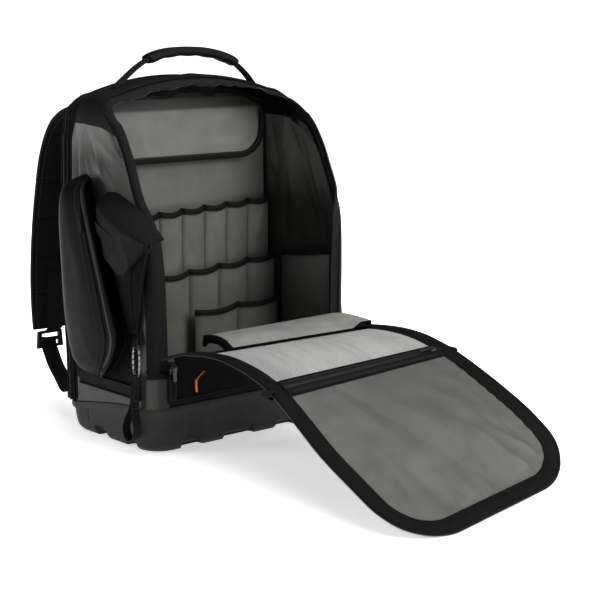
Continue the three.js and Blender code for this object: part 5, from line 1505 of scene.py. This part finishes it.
# pale mesh pocket, with light folds along the flap
def mesh_lift(S, W):
    t = (S - MESH_START) / (BAND_START - MESH_START)
    w = W / 120
    rise = 5 * np.sin(np.pi * np.clip(t, 0, 1)) * np.cos(np.clip(w, -1, 1) * np.pi / 2)
    f = ridges(W, S, [(-82, 128, 96, 3.6, 44, 1.8), (-66, 140, 84, 3, 40, 1.5), (-35, 120, 100, 4, 50, 1.6), (-12, 110, 92, 3, 34, -1.2), (8, 130, 80, 3.6, 46, 1.6), (40, 108, 104, 3.2, 36, 1.8),
                      (62, 128, 88, 3, 40, 1.4), (84, 118, 98, 3.5, 34, -1.2), (100, 140, 85, 3, 30, 1.3), (24, 150, 60, 3, 22, 1.2), (-50, 100, 120, 3, 26, 1.2)])
    edge = np.sin(np.pi * np.clip(t, 0.0, 1)) ** 0.5
    return GAP + HEM + rise + f * edge


_, _, P = flap_grid(MESH_START, BAND_START + 1, RIM_W - 1, res(60), res(110), mesh_lift)
o = cloth("flap_mesh_cloth", P, 1.2, [PALE_MESH], flip=False)
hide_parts("flap_mesh_pocket")

# zip band
_, _, P = flap_grid(BAND_START, BAND_END, RIM_W - 1, res(16), res(60), lambda S, W: GAP + HEM + 1.4 + 0.9 * np.sin(np.pi * (S - BAND_START) / 30))
o = cloth("flap_band_cloth", P, 1.6, [ZIP_TAPE], flip=False)
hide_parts("flap_zip_band")
i_mid = P.shape[0] // 2
up_b = flap_up(np.full(P.shape[1], 201.0), np.linspace(-118, 118, P.shape[1]))
along_b = unit(np.gradient(P, axis=0))[i_mid]
coil(coils, P[i_mid] + up_b * 0.3, -along_b, 5.6, 1.6, 2.2)
for k in (1, P.shape[0] - 2):
    piping(trim, P[k, 1:-1] + up_b[1:-1] * 0.5, 1.0)
for k in (3, P.shape[0] - 4):
    stitch(thread, P[k, 2:-2] + up_b[2:-2] * 0.15, up_b[2:-2])
# the band's slider and pull, at its right end
c = P[i_mid, -4] + up_b[-4] * 2.0
ac, al = unit(P[i_mid, -3] - P[i_mid, -5]), along_b[-4]
b = Batch()
for (a0, a1, w0, w1, h0, h1) in ((-5, 5, 4.2, 3.2, 0, 2.6),):
    v = [c + ac * a0 + al * w0, c + ac * a0 - al * w0, c + ac * a1 - al * w1, c + ac * a1 + al * w1]
    v2 = [q + up_b[-4] * h1 for q in v]
    b.add(v + [c + (q - c) * 0.8 + up_b[-4] * 0.3 for q in v2], [(3, 2, 1, 0), (4, 5, 6, 7), (0, 1, 5, 4), (1, 2, 6, 5), (2, 3, 7, 6), (3, 0, 4, 7)])
tape(b, np.array([c + up_b[-4] * 3.4 - ac * k for k in (-2, 6, 14, 22)]), al, 5, 1.2, n=10, power=4)
b.build("flap_slider", ZIP_METAL, "zip_metal")

# grey zip pocket, with broad soft folds
ZFOLDS = [(-62, 262, 78, 20, 70, 2.6), (-30, 300, 72, 26, 120, -3.2), (8, 330, 70, 22, 110, 2.4), (42, 300, 80, 16, 80, -1.8), (70, 330, 74, 13, 70, 2.2), (84, 360, 66, 10, 44, -2.2),
          (60, 392, 76, 12, 50, 2.2), (30, 410, 84, 14, 46, -2.0), (98, 290, 88, 9, 60, 1.4), (-86, 350, 86, 12, 70, 1.8), (-60, 410, 76, 14, 44, -1.6), (-20, 424, 90, 9, 24, 1.8),
          (96, 402, 60, 7, 22, 2.4), (104, 380, 70, 6, 22, -0.6), (8, 438, 86, 6, 16, 1.8), (-40, 440, 96, 6, 14, 1.6), (76, 428, 70, 6, 16, 2.0), (-96, 400, 96, 7, 24, 1.4)] \
    + creases(17, 26, (-112, 112), (232, 440), (55, 110), (4, 10), (12, 34), (0.15, 0.5))


def zip_pocket_lift(S, W):
    t = (S - BAND_END) / (FLAP_LEN - RIM_W - BAND_END)
    w = np.clip(W / 121, -1, 1)
    rise = 8 * np.sin(np.pi * np.clip(t, 0, 1)) * np.cos(w * np.pi / 2)
    half = flap_half(S[:, 0], RIM_W - 1)[:, None] * np.ones(S.shape[1])
    rim_d = np.minimum(np.minimum(half - np.abs(W), S - BAND_END), FLAP_LEN - RIM_W + 1 - S)
    fade = smooth(0, 16, rim_d)
    pucker = 0.9 * np.sin(np.arctan2(S - 330, W) * 46) * np.exp(-rim_d / 6.0) * smooth(0, 3, rim_d)
    return GAP + HEM + rise + 2.0 * ridges(W, S, ZFOLDS) * fade + pucker


_, _, P = flap_grid(BAND_END - 0.5, FLAP_LEN - RIM_W + 1, RIM_W - 1, res(150), res(150), zip_pocket_lift)
o = cloth("flap_pocket_cloth", P, 1.2, [FLAP_GREY], flip=False)
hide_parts("flap_zip_pocket")

# padded cover over the fold
nu, nv = res(70), res(40)
T = np.ones(nu + 1)[:, None] * np.linspace(0, 1, nv + 1)
U = np.linspace(0, 1, nu + 1)[:, None]
Wc = (-76 - 23 * T) * (1 - U) + (120 + 8 * T) * U
S = np.maximum(0.5, (MESH_START + 1) * T)
P = flap_point(S, Wc, 0.0)
over = 7 * np.clip((Wc - 98) / 14, 0, 1)
lift = 20 + (3.2 - 20) * T + 3 * np.sin(np.pi * T) + over * T + 0.8 * ridges(Wc, S, creases(37, 8, (-100, 130), (5, 60), (-15, 30), (5, 10), (20, 60), (0.4, 1.0)))
P[:, :, 1] += (1 - T) * 1.5
P[:, :, 2] += lift
o = cloth("hinge_cover_cloth", P, CLOTH, [NYLON, HINGE_GREY], flip=False, lining=True)
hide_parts("flap_hinge_cover")
end_line = P[0, :, :] + np.array([-1.5, 0, -1.4])
tape(trim, resample(np.concatenate([[end_line[0] + (2, 2, -8)], end_line]), step=3), (0.15, 0, 1), 11, 6.0, n=12, power=3)
end_line = P[-1, :, :] + np.array([1.2, 0, -1.2])
tape(trim, end_line, (-0.15, 0, 1), 7, 5.0, n=12, power=3)
top_edge = P[1:-1, -1, :] + np.array([0, 0, 0.2])
stitch(thread, P[1:-1, -3, :] + np.array([0, 0, 0.2]), (0, -0.2, 1))

# small tabs at the ends of the zip band
for side, sign in (("left", -1), ("right", 1)):
    b = Batch()
    pts = [flap_point(201, sign * (FLAP_HALF_W - 5), 3.0), flap_point(201, sign * (FLAP_HALF_W + 1.5), 3.4), flap_point(201, sign * (FLAP_HALF_W + 5.6), 1.0), flap_point(201, sign * (FLAP_HALF_W + 5.8), -3.5),
           flap_point(201, sign * (FLAP_HALF_W + 2), -6.0), flap_point(201, sign * (FLAP_HALF_W - 5), -6.2)]
    tape(b, spline([tuple(q) for q in pts], 22), (0, 1, 0), 15, 1.8, n=12)
    o = b.build("flap_loop_" + side, WEBBING, "webbing")
    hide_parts("flap_tab_" + side)

# ---- what is left: trim, thread, coils ---------------------------------------------------------------------------------
trim.build("trim_black", BINDING, "black_nylon", angle=60)
thread.build("stitching", THREAD, "black_nylon")
coils.build("zip_coils", COIL, "zip_tape")

# ---- floor and light -------------------------------------------------------------------------------------------------------
me = bpy.data.meshes.new("floor")
ring_pts = [(3.2 * math.cos(a), 3.2 * math.sin(a), 0) for a in np.linspace(0, 2 * math.pi, 97)[:-1]]
me.from_pydata(ring_pts, [], [tuple(range(96))])
floor = bpy.data.objects.new("floor", me)
floor.location.z = -0.0005
scene.collection.objects.link(floor)
fm = Mat("floor_white", (0.88, 0.88, 0.88), 0.9, spec=0.1)
fm.tint(fm.noise(1.5, 2), 0.0, 1.0, (0.87, 0.87, 0.87), (0.89, 0.89, 0.89))
ln = fm.nt.nodes.new("ShaderNodeVectorMath")
ln.operation = "LENGTH"
fm.link(fm.coords(False), ln.inputs[0])
gl = fm.nt.nodes.new("ShaderNodeMapRange")
gl.interpolation_type = "SMOOTHSTEP"
gl.inputs["From Min"].default_value = 0.3
gl.inputs["From Max"].default_value = 1.3
gl.inputs["To Min"].default_value = 0.5
gl.inputs["To Max"].default_value = 1.0
fm.link(ln.outputs["Value"], gl.inputs["Value"])
fm.link(gl.outputs[0], fm.b.inputs["Emission Strength"])
fm.b.inputs["Emission Color"].default_value = (1, 1, 1, 1)
me.materials.append(fm.m)
world = bpy.data.worlds.new("studio")
scene.world = world
world.use_nodes = True
wt = world.node_tree
tc = wt.nodes.new("ShaderNodeTexCoord")
sx = wt.nodes.new("ShaderNodeSeparateXYZ")
mr = wt.nodes.new("ShaderNodeMapRange")
mr.interpolation_type = "SMOOTHSTEP"
mr.inputs["From Min"].default_value = 0.02
mr.inputs["From Max"].default_value = 0.1
mr.inputs["To Min"].default_value = 1.02
mr.inputs["To Max"].default_value = 0.14
wt.links.new(tc.outputs["Generated"], sx.inputs[0])
wt.links.new(sx.outputs[2], mr.inputs["Value"])
wt.links.new(mr.outputs[0], wt.nodes["Background"].inputs["Strength"])
wt.nodes["Background"].inputs["Color"].default_value = (1, 1, 1, 1)
scene.view_settings.view_transform = "Standard"
scene.view_settings.gamma = 0.8
scene.view_settings.exposure = 0.28
scene.view_settings.look = "None"


def softbox(name, loc, target, size, power):
    d = bpy.data.lights.new(name, "AREA")
    d.shape = "RECTANGLE"
    d.size, d.size_y = size
    d.energy = power
    o = bpy.data.objects.new(name, d)
    o.location = loc
    o.rotation_euler = (Vector(target) - Vector(loc)).to_track_quat("-Z", "Y").to_euler()
    scene.collection.objects.link(o)
    return o


softbox("overhead", (0.2, -0.5, 2.4), (0, -0.15, 0.2), (2.4, 2.0), 46)
softbox("front_box", (1.0, -2.5, 1.7), (0, -0.1, 0.2), (1.7, 1.3), 84)
softbox("left_box", (-2.2, 0.9, 1.4), (-0.1, 0, 0.25), (0.7, 1.6), 14)
